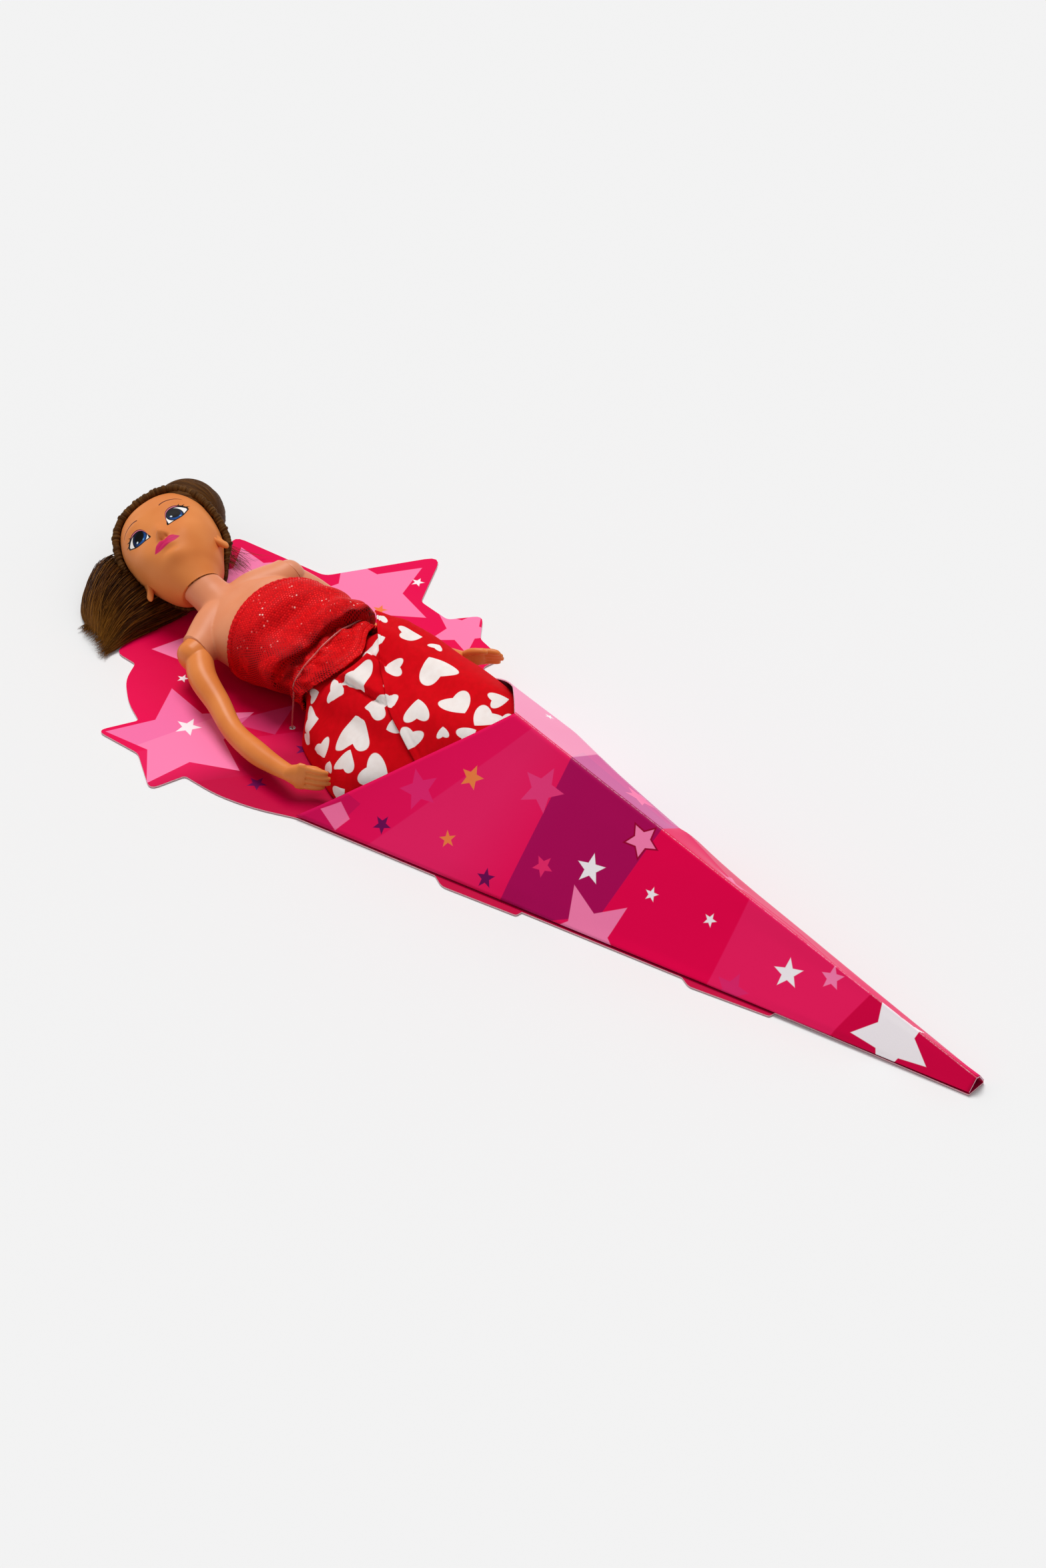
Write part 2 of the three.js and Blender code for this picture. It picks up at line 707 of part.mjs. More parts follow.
function leg(side) {
  const hip = hipPlace(side);
  const down = (drop) => hip.y - thigh_gap - drop;
  const x = (spread) => body_x * 0.8 + side * spread;
  const half = hip_spacing / 2;
  const tilt = (hip.z - hipPlace(-side).z) / 2;
  const solid = limb(
    [
      [hip.x, down(0), 13.7 + tilt, thigh_radius - 1.4],
      [x(half), down(8), 14 + tilt, thigh_radius],
      [x(half - 0.6), down(30), 13.2 + tilt * 0.7, thigh_radius - 1],
      [x(half - 2.6), down(58), 12.2, knee_radius],
      [x(half - 2.8), down(72), 11.7, calf_radius],
      [x(half - 4), down(98), 10.5, ankle_radius + 0.6],
      [x(half - 4.4), down(107), 10, ankle_radius],
      [x(half - 4.8), down(116), 8.6, ankle_radius + 0.3],
      [x(half - 5), down(leg_length - 3), 6.6, ankle_radius - 0.4],
      [x(half - 5), down(leg_length), 6, 1.6],
    ],
    12,
    16,
  );
  const ballAt = hip.clone().add(vector(0, hip_ball_diameter / 2 + 1.5, 0));
  return fromSolid(
    solid
      .add(bar(hip.clone().add(vector(0, -4, 0)), ballAt, hip_stem_diameter / 2, hip_stem_diameter / 2))
      .add(ball(ballAt, hip_ball_diameter / 2)),
  );
}

// The head, in its own frame: X to the doll's left, Y to the crown and Z out of the face.

const headFrame = (() => {
  const lean = degrees(head_lean);
  const turn = degrees(head_turn);
  const up = vector(Math.sin(lean), Math.cos(lean), 0);
  const level = vector(Math.cos(lean), -Math.sin(lean), 0);
  const left = level.clone().multiplyScalar(Math.cos(turn)).add(vector(0, 0, Math.sin(turn)));
  const face = left.clone().cross(up);
  const centre = neckJoint.clone().addScaledVector(up, neck_drop).addScaledVector(left, -head_offset);
  return new THREE.Matrix4().makeBasis(left, up, face).setPosition(centre);
})();
const headInverse = headFrame.clone().invert();
const placeHead = (geometry) => geometry.applyMatrix4(headFrame);

const headAt = throughStations([
  [-neck_drop + 1, neck_diameter / 2 + 0.4, 8.4, 8.6],
  [-chin_drop - 4, 10.6, 12.6, 10],
  [-chin_drop, 12.8, face_depth - 2.2, 12],
  [-lip_drop, 15.2, face_depth - 0.4, nape_depth - 2.6],
  [-4, head_width / 2 - 1.3, face_depth - 0.1, nape_depth - 1],
  [2, head_width / 2 - 0.3, face_depth - 0.4, nape_depth],
  [8, head_width / 2, face_depth - 0.6, nape_depth + 0.4],
  [15, head_width / 2 - 0.6, face_depth - 1.6, nape_depth - 0.4],
  [crown_height - 7, head_width / 2 - 3.4, face_depth - 4.6, nape_depth - 2.4],
  [crown_height - 2.4, head_width / 2 - 8.4, face_depth - 10, nape_depth - 7.4],
  [crown_height, 2.4, 2.4, 2.4],
]);

function headRing(y, offset, sides) {
  const [halfWidth, front, back] = headAt(y);
  const ring = [];
  for (let side = 0; side < sides; side += 1) {
    const even = (side / sides) * TAU;
    const angle = even + 0.5 * Math.cos(even);
    const [x, z] = squareRound(angle, halfWidth + offset, front + offset, back + offset, 2.15);
    ring.push(vector(x, y, z));
  }
  return ring;
}

/** How far the face's features stand out at a place across and up the face. */
function faceRelief(x, y) {
  const bump = (dx, dy, w, h) => Math.exp(-((dx / w) ** 2) - (dy / h) ** 2);
  const nose = nose_length * bump(x, y + nose_drop, 1.9, 2.1) + 1.2 * bump(x, y + nose_drop - 5, 1.7, 5);
  const lips = 1.1 * bump(x, y + lip_drop, lip_width * 0.32, 2.1);
  const chin = 1.2 * bump(x, y + chin_drop, 4.5, 3.2);
  const cheeks = 0.7 * bump(Math.abs(x) - 10, y + 7, 4.5, 4.5);
  const sockets = -0.9 * bump(Math.abs(x) - 8.3, y, 4.6, 3.4);
  return nose + lips + chin + cheeks + sockets;
}

function head() {
  const sides = 34;
  const rings = [];
  const heights = [];
  for (let y = -neck_drop + 1; y < -2; y += 1.8) heights.push(y);
  for (let y = -2; y < crown_height - 7; y += 2.6) heights.push(y);
  for (let k = 0; k <= 4; k += 1) heights.push(crown_height - 7 * (1 - k / 4) ** 1.6);
  for (const y of heights) {
    rings.push(
      headRing(y, 0, sides).map((point) => {
        const front = smoothstep(2, 9, point.z);
        return point.clone().add(vector(0, 0, faceRelief(point.x, point.y) * front));
      }),
    );
  }
  const localNeck = neckJoint.clone().applyMatrix4(headInverse);
  const localAxis = neckAxis.clone().transformDirection(headInverse);
  let solid = toSolid(loft(rings));
  const collarTop = localNeck.clone().addScaledVector(localAxis, 6);
  solid = solid.add(bar(localNeck, collarTop, neck_diameter / 2 + 0.4, neck_diameter / 2 - 0.5, 28));
  const below = localNeck.clone().addScaledVector(localAxis, -12);
  solid = solid.subtract(bar(below, localNeck, 30, 30, 12));
  const ballCentre = localNeck.clone().addScaledVector(localAxis, neck_ball_diameter / 2 + 2);
  solid = solid
    .subtract(ball(ballCentre, neck_ball_diameter / 2 + ball_clearance, 16))
    .subtract(bar(below, ballCentre, neck_stem_diameter / 2 + ball_clearance, neck_stem_diameter / 2 + ball_clearance));
  for (const side of [-1, 1]) solid = solid.add(ear(side));
  return placeHead(fromSolid(solid));
}

function ear(side, growth = 0) {
  const [halfWidth] = headAt(-ear_drop);
  const outer = new THREE.SphereGeometry(1, 11, 7).scale(1.7 + growth, ear_height / 2 + growth, 2.9 + growth);
  outer.rotateX(0.18).rotateY(side * -0.42);
  outer.translate(side * (halfWidth + 0.5), -ear_drop, ear_forward);
  if (growth > 0) return toSolid(outer);
  const bowl = new THREE.SphereGeometry(1, 10, 7).scale(0.9, ear_height * 0.27, 1.5);
  bowl.rotateY(side * -0.42).translate(side * (halfWidth + 2), -ear_drop + 0.6, ear_forward + 1);
  return toSolid(outer).subtract(toSolid(bowl));
}

// Hair: a crimped roll along the hairline, a combed cap behind it, the gathered knot and the tail.

/** How far out a point lies of the head's surface: below 1 inside, above 1 outside. */
function headLevel(point) {
  const [halfWidth, front, back] = headAt(clamp(point.y, -neck_drop, crown_height));
  const depth = point.z > 0 ? front : back;
  return (Math.abs(point.x) / halfWidth) ** 2.15 + (Math.abs(point.z) / depth) ** 2.15;
}

const hairlineMiddle = vector(0, (hairline_high + hairline_low) / 2, 0);
const hairlineUp = vector(0, Math.cos(degrees(hairline_slope)), Math.sin(degrees(hairline_slope)));
const hairlineBack = vector(0, hairlineUp.z, -hairlineUp.y);

/** A point of the flat loop on which the roll lies, off the head by the given clearance. */
function hairlinePoint(angle, clearance) {
  const out = vector(Math.cos(angle), 0, 0).addScaledVector(hairlineUp, Math.sin(angle));
  let low = 0;
  let high = head_width;
  for (let k = 0; k < 24; k += 1) {
    const middle = (low + high) / 2;
    if (headLevel(hairlineMiddle.clone().addScaledVector(out, middle)) < 1) low = middle;
    else high = middle;
  }
  const skin = hairlineMiddle.clone().addScaledVector(out, low);
  const slope = (step) => headLevel(skin.clone().add(step)) - headLevel(skin.clone().sub(step));
  const normal = vector(slope(vector(0.2, 0, 0)), slope(vector(0, 0.2, 0)), slope(vector(0, 0, 0.2))).normalize();
  const within = normal.clone().projectOnPlane(hairlineBack);
  return skin.addScaledVector(within.clone().normalize(), clearance / within.length());
}

/** The crimped roll of hair: one closed tube whose radius rises and falls once a crimp. */
function hairRoll(growth) {
  const steps = roll_ribs * 2;
  const clearance = roll_radius + roll_rib_height + seat_gap;
  const centres = Array.from({ length: steps }, (_, k) => hairlinePoint((k / steps) * TAU, clearance));
  const rings = centres.map((centre, k) => {
    const before = centres[(k + steps - 1) % steps];
    const after = centres[(k + 1) % steps];
    const along = after.clone().sub(before).normalize();
    const normal = along.clone().cross(hairlineBack);
    const radius = roll_radius + growth + (k % 2 === 0 ? roll_rib_height : -roll_rib_height);
    return around(6, (turn) =>
      centre
        .clone()
        .addScaledVector(hairlineBack, Math.cos(turn) * radius)
        .addScaledVector(normal, Math.sin(turn) * radius),
    );
  });
  return loop(rings);
}

/** The head's bare volume grown by an offset, for what lies over it. */
function headVolume(offset, sides) {
  const low = -neck_drop + 1;
  const steps = 16;
  const rings = [];
  for (let k = 0; k <= steps; k += 1) {
    const y = mix(crown_height, low, (1 - k / steps) ** 1.6);
    const lift = offset * Math.max(0, (y - 6) / (crown_height - 6)) ** 1.5;
    rings.push(headRing(y, offset, sides).map((point) => point.setY(point.y + lift)));
  }
  return toSolid(loft(rings));
}

function hairCap() {
  const shell = headVolume(cap_clearance + hair_thickness, 32).subtract(headVolume(cap_clearance, 32));
  const behindRoll = hairlineBack.dot(hairlineMiddle) + roll_radius + roll_rib_height + seat_gap;
  const neckUp = neckAxis.clone().transformDirection(headInverse);
  const neckEnd = neckUp.dot(neckJoint.clone().applyMatrix4(headInverse)) + seat_gap;
  return shell.trimByPlane(hairlineBack.toArray(), behindRoll).trimByPlane(neckUp.toArray(), neckEnd + 0.4);
}

/** The hair gathered high on the back of the head, with the grooves of its combed locks. */
function hairKnot() {
  const geometry = new THREE.SphereGeometry(1, 26, 14);
  const position = geometry.getAttribute('position');
  for (let k = 0; k < position.count; k += 1) {
    const point = vector(position.getX(k), position.getY(k), position.getZ(k));
    const turn = Math.atan2(point.z, point.x);
    const groove = 1 + 0.02 * Math.cos(turn * 13) * (1 - point.y ** 2);
    position.setXYZ(k, point.x * groove, point.y, point.z * groove);
  }
  geometry.scale(knot_radius - 0.6, knot_radius + 0.6, knot_radius);
  geometry.rotateZ(-0.4).translate(knot_x, knot_y, knot_z);
  return toSolid(geometry)
    .subtract(headVolume(cap_clearance + hair_thickness + seat_gap, 32))
    .subtract(toSolid(hairRoll(seat_gap)));
}

/** The tail that comes out from under the head and spreads on the floor to a blunt-cut end. */
function hairTail() {
  const sides = 36;
  const floor = card_thickness + seat_gap;
  const root = neckJoint.x + 4;
  const middle = neckJoint.y + 30;
  const stations = [
    [root, tail_spread / 2 - 4, tail_height * 0.35, -1],
    [root - 8, tail_spread / 2, tail_height, 0.5],
    [root - 17, tail_spread / 2, tail_height * 0.85, 2],
    [root - 25, tail_spread / 2 - 0.5, tail_height * 0.65, 3],
    [root - tail_reach + 6, tail_spread / 2 - 3.5, tail_height * 0.41, 1.5],
    [root - tail_reach + 2, tail_spread / 2 - 7.5, tail_height * 0.27, -1],
    [root - tail_reach, tail_spread / 2 - 13, tail_height * 0.17, -3.5],
  ];
  const rings = stations.map(([x, half, high, shift], k) =>
    around(sides, (angle) => {
      const lock = 1 + 0.04 * Math.sin(angle * tail_locks) * Math.min(1, k / 2);
      const [y, z] = squareRound(angle, half * lock, high * lock, 0.01, 2.2);
      const ground = Math.sin(angle) < -0.05 ? 0 : 0.6;
      return vector(x, middle + shift - y, floor + ground + Math.max(0, z));
    }),
  );
  const grown = placeHead(fromSolid(headVolume(cap_clearance + hair_thickness + seat_gap, 32).add(ear(-1, seat_gap * 2))));
  return fromSolid(toSolid(loft(rings)).subtract(toSolid(grown)).subtract(toSolid(placeHead(hairRoll(seat_gap)))));
}

// Clothes: each is a tube of cloth with its own thickness.

/** Where the top's upper edge runs: highest across the chest, falling under both arms. */
function topUpperEdge(angle) {
  const c = Math.cos(angle);
  const back = Math.max(0, -Math.sin(angle));
  return top_upper_y - (c < 0 ? top_drop_right : top_drop_left) * Math.abs(c) ** 1.8 - 8 * back;
}

/** Where the top's lower edge runs: hanging lowest in front, over the skirt's waist. */
function topLowerEdge(angle) {
  const front = Math.max(0, Math.sin(angle)) ** 2;
  return mix(skirt_waist_y - 3, top_lower_y, front) + 3.5 * Math.max(0, Math.cos(angle)) * front;
}

/** How far the top's inner face stands off the body: more where the skirt's waist lies under it. */
const topLift = (y) => mix(cloth_gap, top_lift_over_skirt, smoothstep(skirt_waist_y + 3, skirt_waist_y + 0.5, y));

/** The top's outer face with its pouch over the thread, its creases and its slack at the doll's left. */
function topSurface(y, angle, above) {
  const front = smoothstep(-0.2, 0.5, Math.sin(angle));
  const slanted = y - 3.5 * Math.cos(angle);
  const pouch = top_fold_height * Math.exp(-(((slanted - tie_y - 9.5) / 5) ** 2));
  const crease = 0.5 * Math.cos(slanted * 0.9) * smoothstep(tie_y + 14, tie_y, y);
  const left = smoothstep(-0.3, 0.8, Math.cos(angle)) * smoothstep(-0.35, 0.35, Math.sin(angle));
  const right = smoothstep(-0.3, -0.9, Math.cos(angle)) * smoothstep(-0.5, 0.1, Math.sin(angle));
  const slack = top_looseness * (left + 0.35 * right) * Math.exp(-(((y - 26) / 15) ** 2));
  const tuck = smoothstep(skirt_waist_y + 3, skirt_waist_y + 0.5, y) < 1 ? 1 : 0.6;
  return bodyPoint(y, angle, topLift(y) + top_thickness + (pouch + crease + 0.5) * front * tuck + slack + above);
}

/** The strapless top, bunched over the elastic thread, its hem lying over the skirt's waist. */
function clothTop() {
  const sides = 32;
  const place = (angle, t, outside) => {
    const y = mix(topLowerEdge(angle), topUpperEdge(angle), t);
    return outside ? topSurface(y, angle, 0) : bodyPoint(y, angle, topLift(y));
  };
  const outer = [];
  const inner = [];
  for (let k = 0; k <= 16; k += 1) outer.push(around(sides, (angle) => place(angle, k / 16, true)));
  for (let k = 0; k <= 12; k += 1) inner.push(around(sides, (angle) => place(angle, k / 12, false)));
  return openSleeve(outer, inner);
}

const coneWalls = rulings.slice(1).map((ruling, k) => {
  const previous = rulings[k];
  const plane = new THREE.Plane().setFromCoplanarPoints(previous.mouth, ruling.mouth, previous.tip);
  if (plane.distanceToPoint(vector(0, -cone_length * 0.6, 4)) < 0) plane.negate();
  return { plane, rim: (previous.mouth.y + ruling.mouth.y) / 2 };
});

/** Draws a point of the skirt in towards its middle until it fits under the cone's walls. */
function underCone(point, middle, room) {
  let share = 1;
  for (const { plane, rim } of coneWalls) {
    const margin = room - 0.45 * Math.max(0, point.y - rim - 2);
    const inside = plane.distanceToPoint(middle) - margin;
    const here = plane.distanceToPoint(point) - margin;
    if (here < 0 && inside > 0) share = Math.min(share, inside / (inside - here));
  }
  return middle.clone().lerp(point, share);
}

const skirtAt = throughStations([
  [skirt_waist_y - 4, 23, waist_width / 2 + 9, 36],
  [skirt_waist_y - 15, 30.5, hip_width / 2 + 7, 38],
  [hip_y, skirt_flare_left - 4.5, hip_width / 2 + 9, 36.5],
  [hip_y - 18, skirt_flare_left + 2, hip_width / 2 + 9, 35],
  [hip_y - 45, skirt_hem_width / 2 + 3, skirt_hem_width / 2, 34.5],
  [skirt_waist_y - skirt_length, skirt_hem_width / 2, skirt_hem_width / 2, 32],
]);

/** Where the free edge of the wrapped front panel runs, from the right of the waist to the left at the hem. */
const panelEdge = (y) => body_x + 24 - 0.92 * (skirt_waist_y - 4 - y) + 0.0028 * (skirt_waist_y - 4 - y) ** 2;

function skirtPoint(y, angle, inset, folded) {
  const [left, right, high] = skirtAt(y);
  const floor = card_thickness + face_gap + glue_flap_thickness + seat_gap;
  const c = Math.cos(angle);
  const s = Math.sin(angle);
  const spread = (c < 0 ? left : right) - inset;
  const x = body_x + spread * c;
  const dome = s > 0 ? floor + 1 + (high - floor - 1 - inset) * s ** (c < 0 ? 1.5 : 1.1) : floor + inset;
  const roll = Math.max(0, (dome - 6) / 25) * spread * c * rollSide.z;
  const z = Math.max(floor + inset, dome + roll);
  const hem = topLowerEdge(angle);
  const loose = smoothstep(hem - 1, hem - 10, y);
  const waist = bodyPoint(y, angle, skirt_lift - inset);
  const point = waist.lerp(vector(x, y, z), loose);
  if (folded && s > 0) {
    const wave = Math.cos(angle * skirt_folds + 0.035 * (skirt_waist_y - y)) * skirt_fold_height;
    const panel = panel_step * smoothstep(-1.5, 1.5, point.x - panelEdge(y));
    const outward = vector(c, 0, s).normalize();
    point.addScaledVector(outward, (wave + panel) * s * loose);
  }
  const middle = vector(body_x, y, 12);
  return underCone(point, middle, card_thickness + cloth_gap + 0.3 + inset);
}

function skirt() {
  const sides = 32;
  const bottom = skirt_waist_y - skirt_length;
  const outer = [];
  const inner = [];
  for (let k = 0; k <= 18; k += 1) {
    const y = mix(skirt_waist_y, bottom, (k / 18) ** 1.3);
    outer.push(around(sides, (angle) => skirtPoint(y, angle, 0, true)));
  }
  for (let k = 0; k <= 11; k += 1) {
    const y = mix(skirt_waist_y, bottom, (k / 11) ** 1.5);
    inner.push(around(sides, (angle) => skirtPoint(y, angle, skirt_thickness, false)));
  }
  return openSleeve(outer, inner);
}

/** The clear elastic thread that ties the waist to the card through its two holes. */
function waistTie() {
  const stations = [];
  const stand = (x, z) => stations.push([x, tie_y, z, tie_diameter / 2]);
  stand(tie_left_x, 0.3);
  stand(tie_left_x, card_thickness + 2);
  for (let angle = 168; angle >= 12; angle -= 13) {
    const point = topSurface(tie_y, degrees(angle), tie_diameter + seat_gap * 2);
    stand(point.x, point.z);
  }
  stand(tie_right_x, card_thickness + 2);
  stand(tie_right_x, 0.3);
  return fromSolid(limb(stations, 6, 40, vector(0, 1, 0)));
}

const material = (color, roughness = 0.6, extra = {}) =>
  new THREE.MeshStandardMaterial({ color, roughness, metalness: 0, ...extra });

const finishes = {
  card: () => material(0xd4145a, 0.45),
  cardInside: () => material(0xe8e2da, 0.8),
  body: () => material(0xdca07f, 0.55),
  vinyl: () => material(0xd6965f, 0.5),
  hair: () => material(0x5a3c1e, 0.5),
  knit: () => material(0xc4101e, 0.5),
  cotton: () => material(0xc8101c, 0.85),
  elastic: () => material(0xf0b8b8, 0.2, { transparent: true, opacity: 0.6 }),
};

function named(name, geometry, finish) {
  const mesh = new THREE.Mesh(geometry, finish);
  mesh.name = name;
  return mesh;
}

const doll = new THREE.Group();
doll.name = 'fashion_doll';
doll.add(
  named('back_card', backCard(), finishes.card()),
  named('cone_front', coneFront(), finishes.card()),
  named('glue_flap', glueFlap(), finishes.cardInside()),
  named('waist_tie', waistTie(), finishes.elastic()),
  named('torso', torso(), finishes.body()),
  named('top', clothTop(), finishes.knit()),
  named('skirt', skirt(), finishes.cotton()),
  named('left_arm', leftArm(), finishes.vinyl()),
  named('right_arm', rightArm(), finishes.vinyl()),
  named('left_leg', leg(1), finishes.vinyl()),
  named('right_leg', leg(-1), finishes.vinyl()),
  named('head', head(), finishes.vinyl()),
  named('hair_roll', placeHead(hairRoll(0)), finishes.hair()),
  named('hair_cap', placeHead(fromSolid(hairCap())), finishes.hair()),
  named('hair_knot', placeHead(fromSolid(hairKnot())), finishes.hair()),
  named('ponytail', hairTail(), finishes.hair()),
);

export default doll;
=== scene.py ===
"""A fashion doll lying in its folded star-shaped carton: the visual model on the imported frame.

Lengths inside the classes are millimetres in the row frame; meshes are made in metres.
"""
import logging
import math
from dataclasses import dataclass, replace
from enum import Enum
from typing import Callable, Sequence

import bmesh
import bpy
import numpy as np
from mathutils import Matrix, Vector


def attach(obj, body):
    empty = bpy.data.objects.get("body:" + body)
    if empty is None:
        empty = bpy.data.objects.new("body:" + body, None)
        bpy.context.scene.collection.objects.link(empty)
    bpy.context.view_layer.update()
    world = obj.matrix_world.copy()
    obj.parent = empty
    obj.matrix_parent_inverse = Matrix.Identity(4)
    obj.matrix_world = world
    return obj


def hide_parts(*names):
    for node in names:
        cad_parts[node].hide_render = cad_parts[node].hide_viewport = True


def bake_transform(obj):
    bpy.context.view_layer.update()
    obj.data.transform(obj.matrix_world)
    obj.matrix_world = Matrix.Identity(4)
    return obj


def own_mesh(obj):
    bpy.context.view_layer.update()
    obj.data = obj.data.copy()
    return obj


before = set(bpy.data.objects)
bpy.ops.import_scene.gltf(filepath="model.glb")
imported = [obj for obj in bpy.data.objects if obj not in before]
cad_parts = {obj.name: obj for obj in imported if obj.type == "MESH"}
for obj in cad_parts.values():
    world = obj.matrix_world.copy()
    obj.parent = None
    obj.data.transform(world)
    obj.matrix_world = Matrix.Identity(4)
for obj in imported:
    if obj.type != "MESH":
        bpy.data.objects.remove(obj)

Triple = tuple[float, float, float]
Colour = tuple[float, float, float, float]
Numbers = float | np.ndarray
Thing = bpy.types.Object

LOG = logging.getLogger("doll")
MM = 0.001
TAU = math.tau
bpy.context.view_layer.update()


# Small helpers on points and numbers.


def vec(x: float, y: float, z: float) -> np.ndarray:
    """A point or direction as an array."""
    return np.array([x, y, z], float)


def unit(vector: np.ndarray) -> np.ndarray:
    """The vector or vectors at length one."""
    length = np.linalg.norm(vector, axis=-1, keepdims=True)
    return vector / np.maximum(length, 1e-12)


def mix(start: Numbers, end: Numbers, share: Numbers) -> Numbers:
    """The value a share of the way from start to end."""
    return start + (end - start) * share


def smoothstep(low: float, high: float, value: Numbers) -> np.ndarray:
    """Rises smoothly from 0 at low to 1 at high; falls where high is the lesser."""
    t = np.clip((np.asarray(value, float) - low) / (high - low), 0.0, 1.0)
    return t * t * (3.0 - 2.0 * t)


def bump(value: Numbers, width: float) -> np.ndarray:
    """A smooth bell of height one and the given half width."""
    return np.exp(-((np.asarray(value, float) / width) ** 2))


def circle(count: int) -> np.ndarray:
    """Evenly spread angles once round."""
    return np.arange(count) / count * TAU


def wheel(across: np.ndarray, upward: np.ndarray, turn: np.ndarray) -> np.ndarray:
    """Directions all round, as the spokes of a wheel.

    Args:
        across: The direction of the first spoke, or rows of such directions.
        upward: The direction a quarter turn on.
        turn: The spokes' angles.

    Returns:
        One direction for each angle, in every row.
    """
    return across[..., None, :] * np.cos(turn)[:, None] + upward[..., None, :] * np.sin(turn)[:, None]


def halved(low: np.ndarray, high: np.ndarray, rounds: int,
           inside: Callable[[np.ndarray], np.ndarray]) -> np.ndarray:
    """The places where a test stops holding, found by halving the way again and again.

    Args:
        low: Places at which it holds.
        high: Places at which it doesn't.
        rounds: How often the way between them is halved.
        inside: The test.

    Returns:
        The last places found at which it holds.
    """
    for _ in range(rounds):
        middle = (low + high) / 2
        holds = inside(middle)
        low, high = np.where(holds, middle, low), np.where(holds, high, middle)
    return low


def rgb(red: float, green: float, blue: float) -> Colour:
    """A screen colour of 0 to 255 steps as the linear colour that a shader takes.

    Args:
        red: Red in steps.
        green: Green in steps.
        blue: Blue in steps.

    Returns:
        The linear colour.
    """
    def linear(step: float) -> float:
        """One channel, without the screen's curve."""
        share = step / 255.0
        return share / 12.92 if share <= 0.04045 else ((share + 0.055) / 1.055) ** 2.4

    return (linear(red), linear(green), linear(blue), 1.0)


def rounded_square(angle: Numbers, half_width: Numbers, front: Numbers, back: Numbers,
                   roundness: float) -> tuple[np.ndarray, np.ndarray]:
    """A point of a rounded-square outline; roundness 2 is an ellipse, more is squarer.

    Args:
        angle: Where round the outline, from the side over the front.
        half_width: Half the outline's width.
        front: Its depth on the side of positive sines.
        back: Its depth on the other side.
        roundness: How square it is.

    Returns:
        The sideways and the forward coordinate.
    """
    c, s = np.cos(angle), np.sin(angle)
    power = 2.0 / roundness
    depth = np.where(s >= 0, front, back)
    return half_width * np.sign(c) * np.abs(c) ** power, depth * np.sign(s) * np.abs(s) ** power


class Profile:
    """Smooth curves through stations, each a place followed by its values."""

    def __init__(self, stations: Sequence[Sequence[float]]) -> None:
        """Keeps the stations in the order of their places."""
        self.table = np.array(sorted(stations), float)

    def __call__(self, place: Numbers) -> list[np.ndarray]:
        """The values at a place or at an array of places.

        Args:
            place: Where along the stations.

        Returns:
            One array for each value of a station.
        """
        table = self.table
        where = np.asarray(place, float)
        last = len(table) - 1
        k = np.clip(np.searchsorted(table[:, 0], where, side="left") - 1, 0, last - 1)
        before, after = np.maximum(k - 1, 0), np.minimum(k + 2, last)
        start, end = table[k], table[k + 1]
        span = end[..., 0] - start[..., 0]
        t = np.clip((where - start[..., 0]) / span, 0.0, 1.0)
        into = (end - table[before]) / np.maximum(end[..., :1] - table[before][..., :1], 1e-6)
        out = (table[after] - start) / np.maximum(table[after][..., :1] - start[..., :1], 1e-6)
        h, g, blend = t**3 - 2 * t**2 + t, t**3 - t**2, t * t * (3 - 2 * t)
        return [
            mix(start[..., n], end[..., n], blend) + span * (h * into[..., n] + g * out[..., n])
            for n in range(1, table.shape[1])
        ]


# Meshes.


def placed(name: str, data: bpy.types.ID) -> Thing:
    """Puts a mesh, camera or lamp into the scene."""
    thing = bpy.data.objects.new(name, data)
    bpy.context.collection.objects.link(thing)
    return thing


def shade_smooth(mesh: bpy.types.Mesh) -> None:
    """Shades all faces smoothly."""
    mesh.polygons.foreach_set("use_smooth", [True] * len(mesh.polygons))


